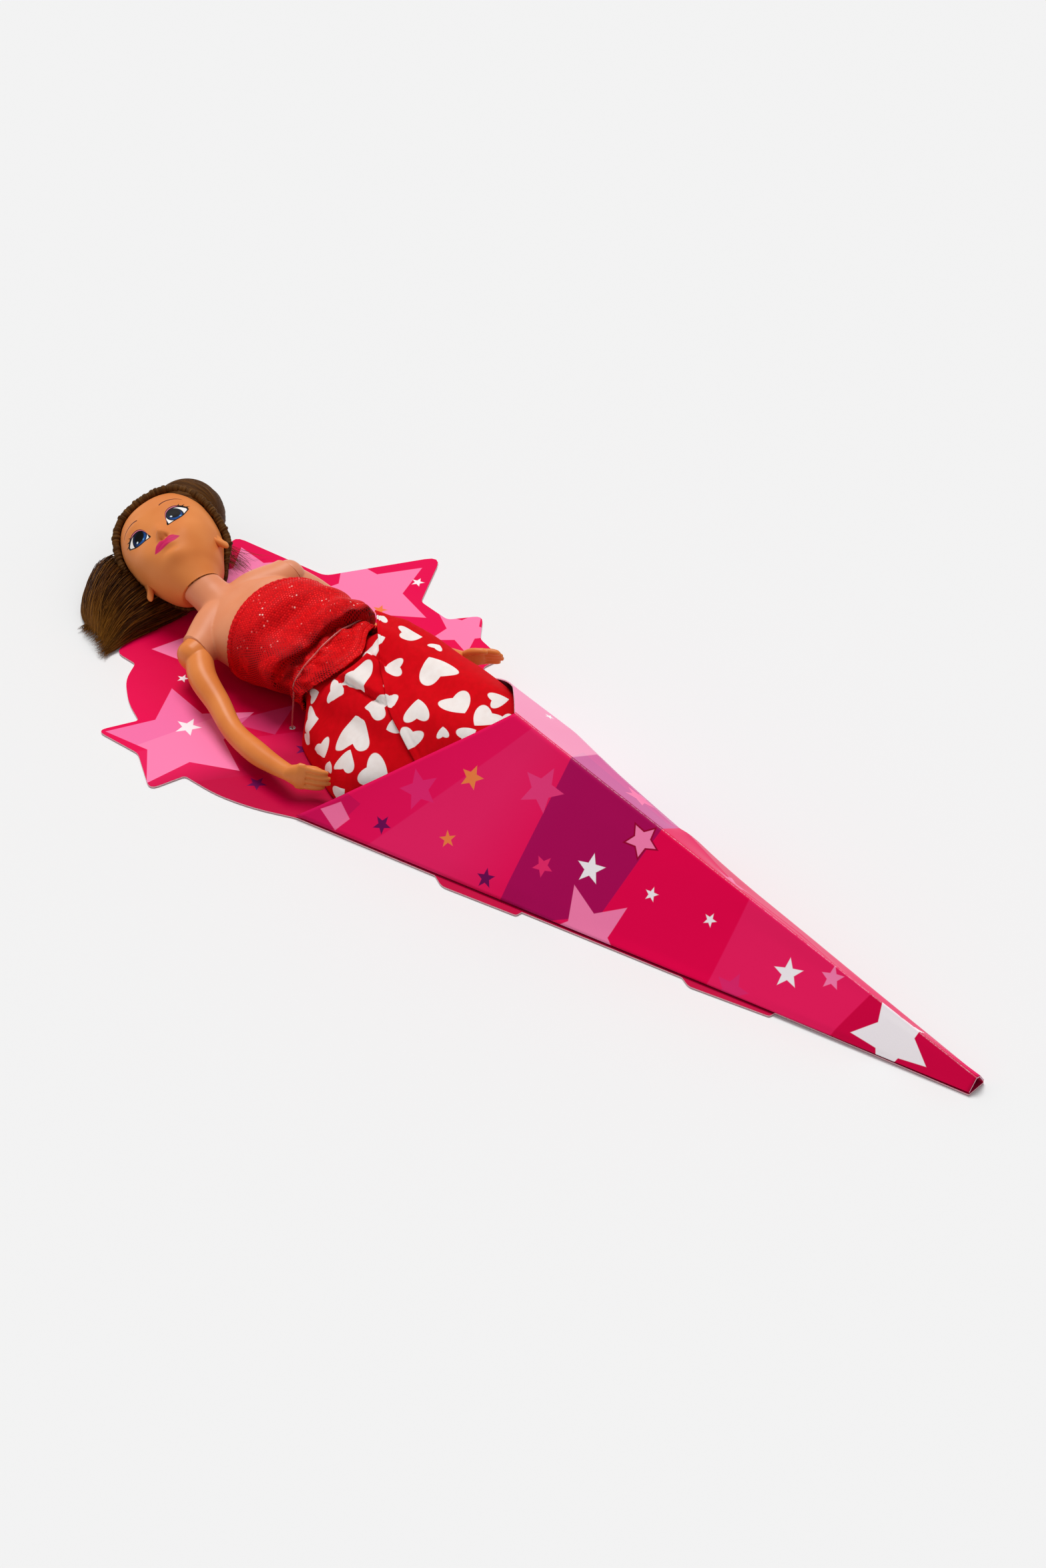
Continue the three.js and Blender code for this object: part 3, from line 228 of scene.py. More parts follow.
@dataclass
class Sheet:
    """A grid of points with its flat places, ready to become a mesh."""

    points: np.ndarray
    flat: np.ndarray | None = None
    closed: bool = False
    capped: bool = False

    def arc_flat(self, middle: float = 0.5) -> "Sheet":
        """Gives every point its place on the flat cloth, measured along the rows and the columns.

        Args:
            middle: The share of each row's columns from which its width is measured.

        Returns:
            The same sheet.
        """
        ring = self.points
        if self.closed:
            ring = np.concatenate([ring, ring[:, :1]], axis=1)
        across = np.linalg.norm(np.diff(ring, axis=1), axis=2)
        along = np.linalg.norm(np.diff(ring, axis=0), axis=2)
        u = np.concatenate([np.zeros((len(ring), 1)), np.cumsum(across, axis=1)], axis=1)
        centre = int(round(middle * (ring.shape[1] - 1)))
        u = u - u[:, centre : centre + 1]
        v = np.concatenate([[0.0], np.cumsum(along[:, centre])])
        self.flat = np.stack([u, np.broadcast_to(v[:, None], u.shape)], axis=-1)
        return self

    def cut_size(self) -> tuple[float, float]:
        """The width and the length, in metres, to which the cloth was cut."""
        ring = np.concatenate([self.points, self.points[:, :1]], axis=1) if self.closed else self.points
        width = np.linalg.norm(np.diff(ring, axis=1), axis=2).sum(axis=1).mean()
        length = np.linalg.norm(np.diff(ring, axis=0), axis=2).sum(axis=0).mean()
        return float(width) * MM, float(length) * MM

    def build(self, name: str) -> Thing:
        """Makes the object, with its flat places as a UV map where it has them.

        Args:
            name: The object's name.

        Returns:
            The object.
        """
        rows, columns = self.points.shape[:2]
        row = np.arange(rows - 1)[:, None]
        column = np.arange(columns if self.closed else columns - 1)[None, :]
        after = (column + 1) % columns
        corners = [row * columns + column, row * columns + after]
        corners += [(row + 1) * columns + after, (row + 1) * columns + column]
        quads = np.stack(np.broadcast_arrays(*corners), axis=-1).reshape(-1, 4).tolist()
        points = self.points.reshape(-1, 3)
        if self.capped:
            for edge, order in ((0, 1), (rows - 1, -1)):
                hub = len(points)
                points = np.vstack([points, self.points[edge].mean(axis=0)])
                base = edge * columns
                for n in range(columns):
                    pair = [base + n, base + (n + 1) % columns][::order]
                    quads.append([pair[1], pair[0], hub])
        mesh = bpy.data.meshes.new(name)
        mesh.from_pydata((points * MM).tolist(), [], quads)
        if self.flat is not None:
            layer = mesh.uv_layers.new(name="flat")
            step = (column + 1) if self.closed else after
            pick = [(row, column), (row, step), (row + 1, step), (row + 1, column)]
            cells = [self.flat[np.broadcast_to(r, (rows - 1, column.size)), c] for r, c in pick]
            values = np.stack(cells, axis=2).reshape(-1)
            whole = np.zeros(len(layer.data) * 2)
            whole[: len(values)] = values
            layer.data.foreach_set("uv", whole)
        shade_smooth(mesh)
        mesh.update()
        return placed(name, mesh)


def settle(thing: Thing) -> Thing:
    """Applies the object's modifiers to its mesh.

    Args:
        thing: The object.

    Returns:
        The same object.
    """
    graph = bpy.context.evaluated_depsgraph_get()
    graph.update()
    mesh = bpy.data.meshes.new_from_object(thing.evaluated_get(graph), depsgraph=graph)
    thing.modifiers.clear()
    old = thing.data
    thing.data = mesh
    bpy.data.meshes.remove(old)
    shade_smooth(mesh)
    return thing


def face_out(thing: Thing) -> Thing:
    """Turns all faces of a closed mesh outward.

    Args:
        thing: The object of the mesh.

    Returns:
        The same object.
    """
    work = bmesh.new()
    work.from_mesh(thing.data)
    bmesh.ops.recalc_face_normals(work, faces=work.faces)
    work.to_mesh(thing.data)
    work.free()
    return thing


def cut(thing: Thing, point: np.ndarray, away: np.ndarray, fill: bool = True) -> Thing:
    """Cuts off what lies beyond a plane.

    Args:
        thing: The mesh object to cut.
        point: A point of the plane, in millimetres.
        away: The direction in which everything is removed.
        fill: Whether the cut is closed with a face.

    Returns:
        The same object.
    """
    work = bmesh.new()
    work.from_mesh(thing.data)
    geometry = work.verts[:] + work.edges[:] + work.faces[:]
    made = bmesh.ops.bisect_plane(
        work, geom=geometry, dist=1e-7, plane_co=Vector(point * MM), plane_no=Vector(away), clear_outer=True
    )
    if fill:
        edges = [item for item in made["geom_cut"] if isinstance(item, bmesh.types.BMEdge)]
        bmesh.ops.holes_fill(work, edges=edges, sides=0)
    work.to_mesh(thing.data)
    work.free()
    return thing


def joined(name: str, things: Sequence[Thing]) -> Thing:
    """Puts several mesh objects into one mesh under a new name.

    Args:
        name: The new name.
        things: The objects, which are used up.

    Returns:
        The new object.
    """
    work = bmesh.new()
    work.loops.layers.uv.new("flat")
    for thing in things:
        if not thing.data.uv_layers:
            thing.data.uv_layers.new(name="flat")
        work.from_mesh(thing.data)
    mesh = bpy.data.meshes.new(name)
    work.to_mesh(mesh)
    work.free()
    for thing in things:
        bpy.data.objects.remove(thing, do_unlink=True)
    shade_smooth(mesh)
    return placed(name, mesh)


def melted(thing: Thing, voxel: float, rounds: int) -> Thing:
    """Unites overlapping closed shells into one skin and smooths it.

    Args:
        thing: The object whose shells are united.
        voxel: The size of the cells in which they are united, in millimetres.
        rounds: How often the skin is smoothed.

    Returns:
        The same object.
    """
    unite = thing.modifiers.new("unite", "REMESH")
    unite.mode = "VOXEL"
    unite.voxel_size = voxel * MM
    smooth = thing.modifiers.new("smooth", "SMOOTH")
    smooth.factor = 0.5
    smooth.iterations = rounds
    return settle(thing)


def thicken(thing: Thing, thickness: float, side: float = -1.0) -> Thing:
    """Gives a sheet its thickness in millimetres, inward for side -1.

    Args:
        thing: The sheet's object.
        thickness: In millimetres.
        side: -1 for inward and 1 for outward.

    Returns:
        The same object.
    """
    wall = thing.modifiers.new("thickness", "SOLIDIFY")
    wall.thickness = thickness * MM
    wall.offset = side
    wall.use_even_offset = False
    return settle(thing)


def catmull(points: np.ndarray, share: np.ndarray) -> np.ndarray:
    """A smooth line through points, with each span as even as its length asks.

    Args:
        points: The points to pass through.
        share: Places along the line from 0 to 1.

    Returns:
        One point for each place.
    """
    last = len(points) - 1
    spot = np.clip(share, 0, 1) * last
    k = np.minimum(np.floor(spot).astype(int), last - 1)
    t = (spot - k)[:, None]
    padded = np.vstack([2 * points[0] - points[1], points, 2 * points[-1] - points[-2]])
    p0, p1, p2, p3 = (padded[k + n] for n in range(4))
    gaps = [np.maximum(np.linalg.norm(b - a, axis=1, keepdims=True), 1e-4) ** 0.5
            for a, b in ((p0, p1), (p1, p2), (p2, p3))]
    before, middle, after = gaps
    start = ((p1 - p0) / before - (p2 - p0) / (before + middle) + (p2 - p1) / middle) * middle
    end = ((p2 - p1) / middle - (p3 - p1) / (middle + after) + (p3 - p2) / after) * middle
    square, cube = t * t, t**3
    return (p1 + start * t + (-3 * p1 + 3 * p2 - 2 * start - end) * square
            + (2 * p1 - 2 * p2 + start + end) * cube)


def spline(values: np.ndarray, share: np.ndarray) -> np.ndarray:
    """A smooth row of numbers through values, at places from 0 to 1.

    Args:
        values: The numbers to pass through.
        share: Places along the row.

    Returns:
        One number for each place.
    """
    last = len(values) - 1
    spot = np.clip(share, 0, 1) * last
    k = np.minimum(np.floor(spot).astype(int), last - 1)
    t = spot - k
    padded = np.concatenate([values[:1], values, values[-1:]])
    a, b, c, d = (padded[k + n] for n in range(4))
    first, second = (c - a) / 2, (d - b) / 2
    return ((2 * b - 2 * c + first + second) * t**3 + (-3 * b + 3 * c - 2 * first - second) * t**2
            + first * t + b)


def tube(stations: Sequence[Sequence[float]], sides: int, steps: int, reference: np.ndarray) -> Sheet:
    """A round limb through stations of a point and a radius.

    Args:
        stations: Rows of x, y, z and radius.
        sides: How many points each ring has.
        steps: How many rings less one.
        reference: A direction that no part of the limb runs along.

    Returns:
        The limb's closed and capped sheet.
    """
    table = np.array(stations, float)
    share = np.linspace(0, 1, steps + 1)
    centre = catmull(table[:, :3], share)
    radius = spline(table[:, 3], share)
    along = unit(np.gradient(centre, axis=0))
    across = unit(np.cross(reference, along))
    upward = np.cross(along, across)
    ring = wheel(across, upward, circle(sides))
    return Sheet(centre[:, None] + ring * radius[:, None, None], closed=True, capped=True)


# Shader maths.


class Link:
    """One socket of a material, which can be used in arithmetic."""

    def __init__(self, shader: "Shader", socket: bpy.types.NodeSocket) -> None:
        """Keeps the socket and the shader that its nodes go to."""
        self.shader = shader
        self.socket = socket

    def __add__(self, other: "Value") -> "Link":
        """The sum."""
        return self.shader.math("ADD", self, other)

    __radd__ = __add__

    def __sub__(self, other: "Value") -> "Link":
        """The difference."""
        return self.shader.math("SUBTRACT", self, other)

    def __rsub__(self, other: "Value") -> "Link":
        """The difference with this value taken away."""
        return self.shader.math("SUBTRACT", other, self)

    def __mul__(self, other: "Value") -> "Link":
        """The product."""
        return self.shader.math("MULTIPLY", self, other)

    __rmul__ = __mul__

    def __truediv__(self, other: "Value") -> "Link":
        """The quotient."""
        return self.shader.math("DIVIDE", self, other)

    def __rtruediv__(self, other: "Value") -> "Link":
        """The quotient with this value below."""
        return self.shader.math("DIVIDE", other, self)

    def __abs__(self) -> "Link":
        """The value without its sign."""
        return self.shader.math("ABSOLUTE", self)

    def __or__(self, other: "Value") -> "Link":
        """The greater of two masks."""
        return self.shader.math("MAXIMUM", self, other)

    def __and__(self, other: "Value") -> "Link":
        """The lesser of two masks."""
        return self.shader.math("MINIMUM", self, other)


Value = Link | float | Sequence[float]


class Shader:
    """One material: its nodes, its maths and its principled surface."""

    def __init__(self, name: str) -> None:
        """Makes an empty material with a surface and an output."""
        self.material = bpy.data.materials.new(name)
        self.material.use_nodes = True
        self.tree = self.material.node_tree
        self.tree.nodes.clear()
        self.output = self.tree.nodes.new("ShaderNodeOutputMaterial")
        self.surface = self.tree.nodes.new("ShaderNodeBsdfPrincipled")
        self.tree.links.new(self.surface.outputs[0], self.output.inputs[0])

    def node(self, kind: str, settings: dict, inputs: dict) -> bpy.types.Node:
        """Makes any node: its settings first, then the values or links of its sockets.

        Args:
            kind: The node's type.
            settings: Properties by name; "stops" fills a colour ramp and "curve" a float curve.
            inputs: Values or links by the socket's name or place.

        Returns:
            The node.
        """
        made = self.tree.nodes.new(kind)
        for key, value in settings.items():
            if key == "stops":
                ramp = made.color_ramp
                while len(ramp.elements) < len(value):
                    ramp.elements.new(0.5)
                for element, (place, colour) in zip(ramp.elements, value):
                    element.position = place
                    element.color = colour
            elif key == "curve":
                line = made.mapping.curves[0]
                while len(line.points) < len(value):
                    line.points.new(0.5, 0.5)
                for point, (x, y) in zip(line.points, value):
                    point.location = (x, y)
                made.mapping.update()
            else:
                setattr(made, key, value)
        for key, value in inputs.items():
            self.feed(made.inputs[key], value)
        return made

    def feed(self, socket: bpy.types.NodeSocket, value: Value) -> None:
        """Links a socket or sets its value.

        Args:
            socket: The input.
            value: A link, or what it is set to.
        """
        if isinstance(value, Link):
            self.tree.links.new(value.socket, socket)
        else:
            socket.default_value = value

    def out(self, node: bpy.types.Node, place: int | str = 0) -> Link:
        """An output of a node, ready for arithmetic."""
        return Link(self, node.outputs[place])

    def math(self, operation: str, *values: Value, clamp: bool = False) -> Link:
        """A Math node on up to three values."""
        settings = {"operation": operation, "use_clamp": clamp}
        return self.out(self.node("ShaderNodeMath", settings, dict(enumerate(values))))

    def arrange(self, operation: str, *values: Value, place: int = 0) -> Link:
        """A Vector Math node on up to three vectors; place 1 is its number output."""
        settings = {"operation": operation}
        return self.out(self.node("ShaderNodeVectorMath", settings, dict(enumerate(values))), place)

    def step(self, value: Link, edge: Value, soft: float) -> Link:
        """A mask that rises from 0 to 1 over a soft width round an edge."""
        return self.math("MULTIPLY_ADD", value - edge, 1.0 / soft, 0.5, clamp=True)

    def fall(self, value: Link, edge: Value, soft: float) -> Link:
        """A mask that falls from 1 to 0 over a soft width round an edge."""
        return self.math("MULTIPLY_ADD", value - edge, -1.0 / soft, 0.5, clamp=True)

    def reach(self, across: Link, along: Link) -> Link:
        """How long a step is, from its two numbers."""
        return self.math("SQRT", across * across + along * along)

    def blend(self, factor: Value, first: Value, second: Value) -> Link:
        """A colour between two colours."""
        inputs = {0: factor, 6: first, 7: second}
        return self.out(self.node("ShaderNodeMix", {"data_type": "RGBA"}, inputs), 2)

    def place(self) -> Link:
        """The point in the row frame at rest, in metres."""
        return self.out(self.node("ShaderNodeTexCoord", {}, {}), "Object")

    def ruler(self) -> tuple[Link, Link, Link]:
        """The point's three numbers in the row frame at rest, in millimetres."""
        return self.split(self.arrange("MULTIPLY", self.place(), (1.0 / MM, 1.0 / MM, 1.0 / MM)))

    def flat(self) -> Link:
        """The point's place on the flat sheet, in millimetres."""
        return self.out(self.node("ShaderNodeUVMap", {"uv_map": "flat"}, {}))

    def split(self, vector: Link) -> tuple[Link, Link, Link]:
        """The three numbers of a vector."""
        made = self.node("ShaderNodeSeparateXYZ", {}, {0: vector})
        return self.out(made, 0), self.out(made, 1), self.out(made, 2)

    def merge(self, x: Value, y: Value, z: Value) -> Link:
        """A vector from three numbers."""
        return self.out(self.node("ShaderNodeCombineXYZ", {}, {0: x, 1: y, 2: z}))

    def noise(self, vector: Link, scale: float, detail: float = 2.0, rough: float = 0.5) -> Link:
        """Smooth noise from 0 to 1 round a half."""
        inputs = {"Vector": vector, "Scale": scale, "Detail": detail, "Roughness": rough}
        return self.out(self.node("ShaderNodeTexNoise", {"noise_dimensions": "3D"}, inputs))

    def curve(self, value: Link, points: Sequence[tuple[float, float]]) -> Link:
        """A smooth line through points in the value's own units.

        Args:
            value: Where along the line.
            points: The line's points, from the least place to the greatest.

        Returns:
            The line's height at the value.
        """
        places = [x for x, _ in points]
        heights = [y for _, y in points]
        low, high = min(heights), max(heights)
        tall = max(high - low, 1e-6)
        wide = places[-1] - places[0]
        line = [((x - places[0]) / wide, (y - low) / tall) for x, y in points]
        at = self.math("MULTIPLY_ADD", value, 1.0 / wide, -places[0] / wide, clamp=True)
        made = self.node("ShaderNodeFloatCurve", {"curve": line}, {"Value": at})
        return self.math("MULTIPLY_ADD", self.out(made), tall, low)

    def star(self, x: Link, y: Link, centre: tuple[float, float], radius: float, tip: float,
             inner: float = 0.45, soft: float = 0.25) -> Link:
        """A five-pointed star mask.

        Args:
            x: The place across, in the print's units.
            y: The place along.
            centre: The star's middle.
            radius: From the middle to a tip.
            tip: The angle of one tip, in degrees.
            inner: The notches' radius as a share of the tips'.
            soft: The width of the printed edge.

        Returns:
            1 inside the star and 0 outside.
        """
        across, along = x - centre[0], y - centre[1]
        angle = self.math("ARCTAN2", along, across) - math.radians(tip)
        folded = self.math("PINGPONG", angle, math.pi / 5)
        reach = self.reach(across, along)
        notch = (inner * math.cos(math.pi / 5), inner * math.sin(math.pi / 5))
        normal = unit(np.array([notch[1], 1.0 - notch[0]]))
        ahead = reach * self.math("COSINE", folded) * float(normal[0])
        aside = reach * self.math("SINE", folded) * float(normal[1])
        return self.fall(ahead + aside, radius * float(normal[0]), soft)

    def stars(self, x: Link, y: Link, under: Link, marks: Sequence[tuple]) -> Link:
        """Prints stars over a colour.

        Args:
            x: The place across, in the print's units.
            y: The place along.
            under: The colour below.
            marks: Each star's middle, radius, tip's angle, ink and notches' share.

        Returns:
            The colour with the stars.
        """
        for centre, radius, tip, ink, inner in marks:
            under = self.blend(self.star(x, y, centre, radius, tip, inner), under, ink)
        return under

    def facets(self, x: Link, y: Link, *corners: tuple[float, float], soft: float = 0.3) -> Link:
        """A mask of a convex shape.

        Args:
            x: The place across, in the print's units.
            y: The place along.
            corners: The shape's corners, in the order that keeps the inside on the left.
            soft: The width of the printed edge.

        Returns:
            1 inside the shape and 0 outside.
        """
        mask = None
        for (x0, y0), (x1, y1) in zip(corners, corners[1:] + corners[:1]):
            length = math.hypot(x1 - x0, y1 - y0)
            across, along = -(y1 - y0) / length, (x1 - x0) / length
            inside = self.step(x * across + y * along, across * x0 + along * y0, soft)
            mask = inside if mask is None else mask & inside
        return mask

    def set(self, **sockets: Value) -> "Shader":
        """Sets or links sockets of the surface, with their names' blanks written as underscores."""
        for name, value in sockets.items():
            label = name.replace("_", " ").title().replace("Ior", "IOR")
            self.feed(self.surface.inputs[label], value)
        return self

    def relief(self, height: Link, strength: float, distance: float) -> "Shader":
        """Roughens the surface by a height, with the distance in metres."""
        inputs = {"Strength": strength, "Distance": distance, "Height": height}
        made = self.node("ShaderNodeBump", {}, inputs)
        return self.set(normal=self.out(made))


def dress(thing: Thing, shader: Shader) -> None:
    """Gives an object one material in every slot.

    Args:
        thing: The object.
        shader: The material.
    """
    if thing.material_slots:
        for place in thing.material_slots:
            place.material = shader.material
    else:
        thing.data.materials.append(shader.material)


def give(piece: Thing, body: str, slot: str, *nodes: str) -> Thing:
    """Puts a finished piece on its body, hides the solids it stands for and logs it."""
    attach(piece, body)
    return named(piece, body, slot, *nodes)


def trail(piece: Thing, slot: str, *nodes: str) -> Thing:
    """Bakes the place of hair that lies on the card into its mesh, leaving it on no body, and hides its solids and
    logs it as give does.
    """
    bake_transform(piece)
    return named(piece, "torso and head", slot, *nodes)


def named(piece: Thing, body: str, slot: str, *nodes: str) -> Thing:
    """Hides the solids that a piece stands for and logs what it rides on.

    Args:
        piece: The piece.
        body: What it rides on, for the log.
        slot: The slot's name; not used.
        nodes: The solids.

    Returns:
        The same piece.
    """
    if nodes:
        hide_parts(*nodes)
    LOG.info("%s rides on %s with %d faces", piece.name, body, len(piece.data.polygons))
    return piece


# The studio.


@dataclass(frozen=True)
class Plain:
    """An evenly coloured matt surface."""

    name: str
    colour: Colour
    roughness: float = 0.9

    def shader(self) -> Shader:
        """The finish as a material."""
        return Shader(self.name).set(base_color=self.colour, roughness=self.roughness)


@dataclass
class Studio:
    """The camera, the pale floor and the soft lights."""

    eye: Triple = (-0.9787, -0.9755, 1.1225)
    right: Triple = (0.672, -0.740, 0.0)
    ahead: Triple = (0.568, 0.516, -0.641)
    lens: float = 107.23
    sensor: float = 36.0
    floor_size: float = 8.0
    floor_drop: float = 0.2
    floor_white: Colour = rgb(240, 240, 240)
    height: float = 2350.0
    width: float = 1568.0
    key_strength: float = 2.12
    key_spread: float = 30.0
    key_place: Triple = (0.9, 1.2, 3.3)
    fill_strength: float = 0.41

    def picture(self, points: np.ndarray) -> tuple[np.ndarray, np.ndarray, np.ndarray]:
        """Where points in millimetres appear in the picture.

        Args:
            points: The points in the row frame.

        Returns:
            Their places across and down the picture and their distance ahead of the camera.
        """
        right, ahead = unit(np.array(self.right)), unit(np.array(self.ahead))
        offset = points - np.array(self.eye) / MM
        far = offset @ ahead
        scale = self.lens / self.sensor * self.height / far
        up = np.cross(right, ahead)
        return self.width / 2 + offset @ right * scale, self.height / 2 - offset @ up * scale, far

    def camera(self) -> None:
        """Sets the camera at the photograph's place and angle."""
        data = bpy.data.cameras.new("camera")
        data.sensor_fit = "VERTICAL"
        data.sensor_height = self.sensor
        data.lens = self.lens
        data.clip_end = 50.0
        thing = placed("camera", data)
        right = unit(np.array(self.right))
        ahead = unit(np.array(self.ahead))
        up = np.cross(right, ahead)
        axes = Matrix((right, up, -ahead)).transposed().to_4x4()
        axes.translation = Vector(self.eye)
        thing.matrix_world = axes
        bpy.context.scene.camera = thing

    def floor(self) -> None:
        """Lays the pale floor, which the camera sees at its own white and which keeps the shadow."""
        half = self.floor_size / MM / 2
        corners = [[vec(-half, -half, 0), vec(half, -half, 0)], [vec(-half, half, 0), vec(half, half, 0)]]
        thing = Sheet(np.array(corners)).build("studio_floor")
        thing.location.z = -self.floor_drop * MM
        dress(thing, Plain("floor", self.floor_white).shader())

    def lights(self) -> None:
        """Sets one wide, soft and distant lamp and fills the rest with even light."""
        lamp = bpy.data.lights.new("soft_lamp", "SUN")
        lamp.angle = math.radians(self.key_spread)
        lamp.energy = self.key_strength
        thing = placed("soft_lamp", lamp)
        place = Vector(self.key_place)
        thing.matrix_world = (Vector((0, 0, 0)) - place).to_track_quat("-Z", "Y").to_matrix().to_4x4()
        thing.matrix_world.translation = place
        world = bpy.data.worlds.new("even_light")
        world.use_nodes = True
        tree = world.node_tree
        back = tree.nodes["Background"]
        back.inputs[0].default_value = (1.0, 1.0, 1.0, 1.0)
        seen = tree.nodes.new("ShaderNodeLightPath")
        level = tree.nodes.new("ShaderNodeMath")
        level.operation = "MULTIPLY_ADD"
        level.inputs[1].default_value = self.floor_white[0] - self.fill_strength
        level.inputs[2].default_value = self.fill_strength
        tree.links.new(seen.outputs["Is Camera Ray"], level.inputs[0])
        tree.links.new(level.outputs[0], back.inputs[1])
        bpy.context.scene.world = world

    def build(self) -> None:
        """Makes the whole studio."""
        bpy.context.scene.view_settings.view_transform = "Standard"
        self.camera()
        self.floor()
        self.lights()


# The forms that several sub-assemblies share.


@dataclass
class BodyForm:
    """The trunk's outline from seat to neck, rolled a little onto its right side."""

    centre: float = 4.0
    height: float = 16.5
    roll: float = 9.0
    lowest: float = 3.9
    neck_point: Triple = (1.1, 80.7, 19.8)
    neck_rise: float = 18.0
    neck_lean: float = 15.0
    neck_radius: float = 7.8
    seat: float = -30.0
    shoulder_y: float = 62.0
    shoulder_rise: float = 1.5
    shoulder_half: float = 22.0
    arm_plane: float = 25.8

    def __post_init__(self) -> None:
        """Works out the directions and the outline."""
        turn = math.radians(self.roll)
        self.side = vec(math.cos(turn), 0, math.sin(turn))
        self.front = vec(-self.side[2], 0, self.side[0])
        rise, lean = math.radians(self.neck_rise), math.radians(self.neck_lean)
        self.neck_path = vec(0, math.cos(rise), math.sin(rise))
        self.neck_axis = vec(math.sin(lean) * math.cos(rise), math.cos(lean) * math.cos(rise), math.sin(rise))
        self.neck = np.array(self.neck_point)
        self.outline = Profile([
            [71.7, 9.4, 9, 9.5, 0.6],
            [67.5, 16, 10, 10, 0.8],
            [63, 21, 11, 11, 0.5],
            [56, 21.8, 14.5, 12, 0.5],
            [42, 21, 19, 13.5, -0.5],
            [32, 18.5, 14, 12, -0.5],
            [17, 15.5, 10.5, 10.5, -0.5],
            [3, 20.25, 12.1, 11.5, -0.5],
            [-12, 23, 13.5, 13, -0.5],
            [-26, 22, 13, 12.5, -0.8],
            [-30, 19.5, 10, 9.5, -1],
        ])

    def rolled(self, x: Numbers, y: Numbers, z: Numbers) -> np.ndarray:
        """Places on the rolled body from its own sideways, lengthwise and forward numbers."""
        x, y, z = np.broadcast_arrays(np.asarray(x, float), y, z)
        base = np.stack([np.full(x.shape, self.centre), y, np.full(x.shape, self.height)], axis=-1)
        return base + self.side * x[..., None] + self.front * z[..., None]

    def at(self, y: Numbers, angle: Numbers, offset: Numbers = 0.0) -> np.ndarray:
        """A point of the trunk's skin, or off it by an offset.

        Args:
            y: How far up the trunk.
            angle: Where round it.
            offset: How far off the skin.

        Returns:
            The points.
        """
        half, front, back, rise = self.outline(y)
        x, z = rounded_square(angle, half + offset, front + offset, back + offset, 2.25)
        point = self.rolled(x, y, z + rise)
        point[..., 2] = np.maximum(self.lowest - offset, point[..., 2])
        return point

    def shoulder(self, side: int) -> np.ndarray:
        """Where an arm meets the trunk: side 1 is the doll's left."""
        return self.rolled(side * self.shoulder_half, self.shoulder_y, self.shoulder_rise)


@dataclass
class HeadForm:
    """The head's outline in its own frame: to the doll's left, to the crown and out of the face."""

    lean: float = 24.0
    turn: float = 26.5
    neck_drop: float = 26.5
    offset: float = 1.0
    crown: float = 30.0
    half: float = 19.2
    face_depth: float = 18.0
    nape_depth: float = 14.8
    chin_drop: float = 16.0
    lip_drop: float = 10.5

    def __post_init__(self) -> None:
        """Works out the frame and the outline."""
        lean, turn = math.radians(self.lean), math.radians(self.turn)
        self.up = vec(math.sin(lean), math.cos(lean), 0)
        level = vec(math.cos(lean), -math.sin(lean), 0)
        self.left = level * math.cos(turn) + vec(0, 0, math.sin(turn))
        self.face = np.cross(self.left, self.up)
        self.axes = np.stack([self.left, self.up, self.face])
        self.centre = BODY.neck + self.up * self.neck_drop - self.left * self.offset
        half, face, nape, crown = self.half, self.face_depth, self.nape_depth, self.crown
        self.outline = Profile([
            [-self.neck_drop + 1, 8.2, 8.4, 8.6],
            [-self.chin_drop - 4, 10.6, 12.6, 10],
            [-self.chin_drop, 12.8, face - 2.2, 12],
            [-self.lip_drop, 15.2, face - 0.4, nape - 2.6],
            [-4, half - 1.3, face - 0.1, nape - 1],
            [2, half - 0.3, face - 0.4, nape],
            [8, half, face - 0.6, nape + 0.4],
            [15, half - 0.6, face - 1.6, nape - 0.4],
            [crown - 7, half - 3.4, face - 4.6, nape - 2.4],
            [crown - 2.4, half - 8.4, face - 10, nape - 7.4],
            [crown, 2.4, 2.4, 2.4],
        ])

    def world(self, points: np.ndarray) -> np.ndarray:
        """Points of the head's frame in the row frame."""
        return self.centre + points @ self.axes

    def ring(self, y: Numbers, sides: int, offset: float = 0.0) -> np.ndarray:
        """Rings round the head at the given heights, denser over the face.

        Args:
            y: The heights.
            sides: How many points each ring has.
            offset: How far off the skin.

        Returns:
            The points in the head's frame.
        """
        y = np.atleast_1d(np.asarray(y, float))[:, None]
        even = circle(sides)[None, :]
        angle = even + 0.5 * np.cos(even)
        half, front, back = self.outline(y)
        x, z = rounded_square(angle, half + offset, front + offset, back + offset, 2.15)
        return np.stack(np.broadcast_arrays(x, y, z), axis=-1).copy()

    def level(self, point: np.ndarray) -> np.ndarray:
        """How far out points lie of the head's skin: below 1 inside, above 1 outside."""
        half, front, back = self.outline(np.clip(point[..., 1], -self.neck_drop, self.crown))
        depth = np.where(point[..., 2] > 0, front, back)
        return (np.abs(point[..., 0]) / half) ** 2.15 + (np.abs(point[..., 2]) / depth) ** 2.15


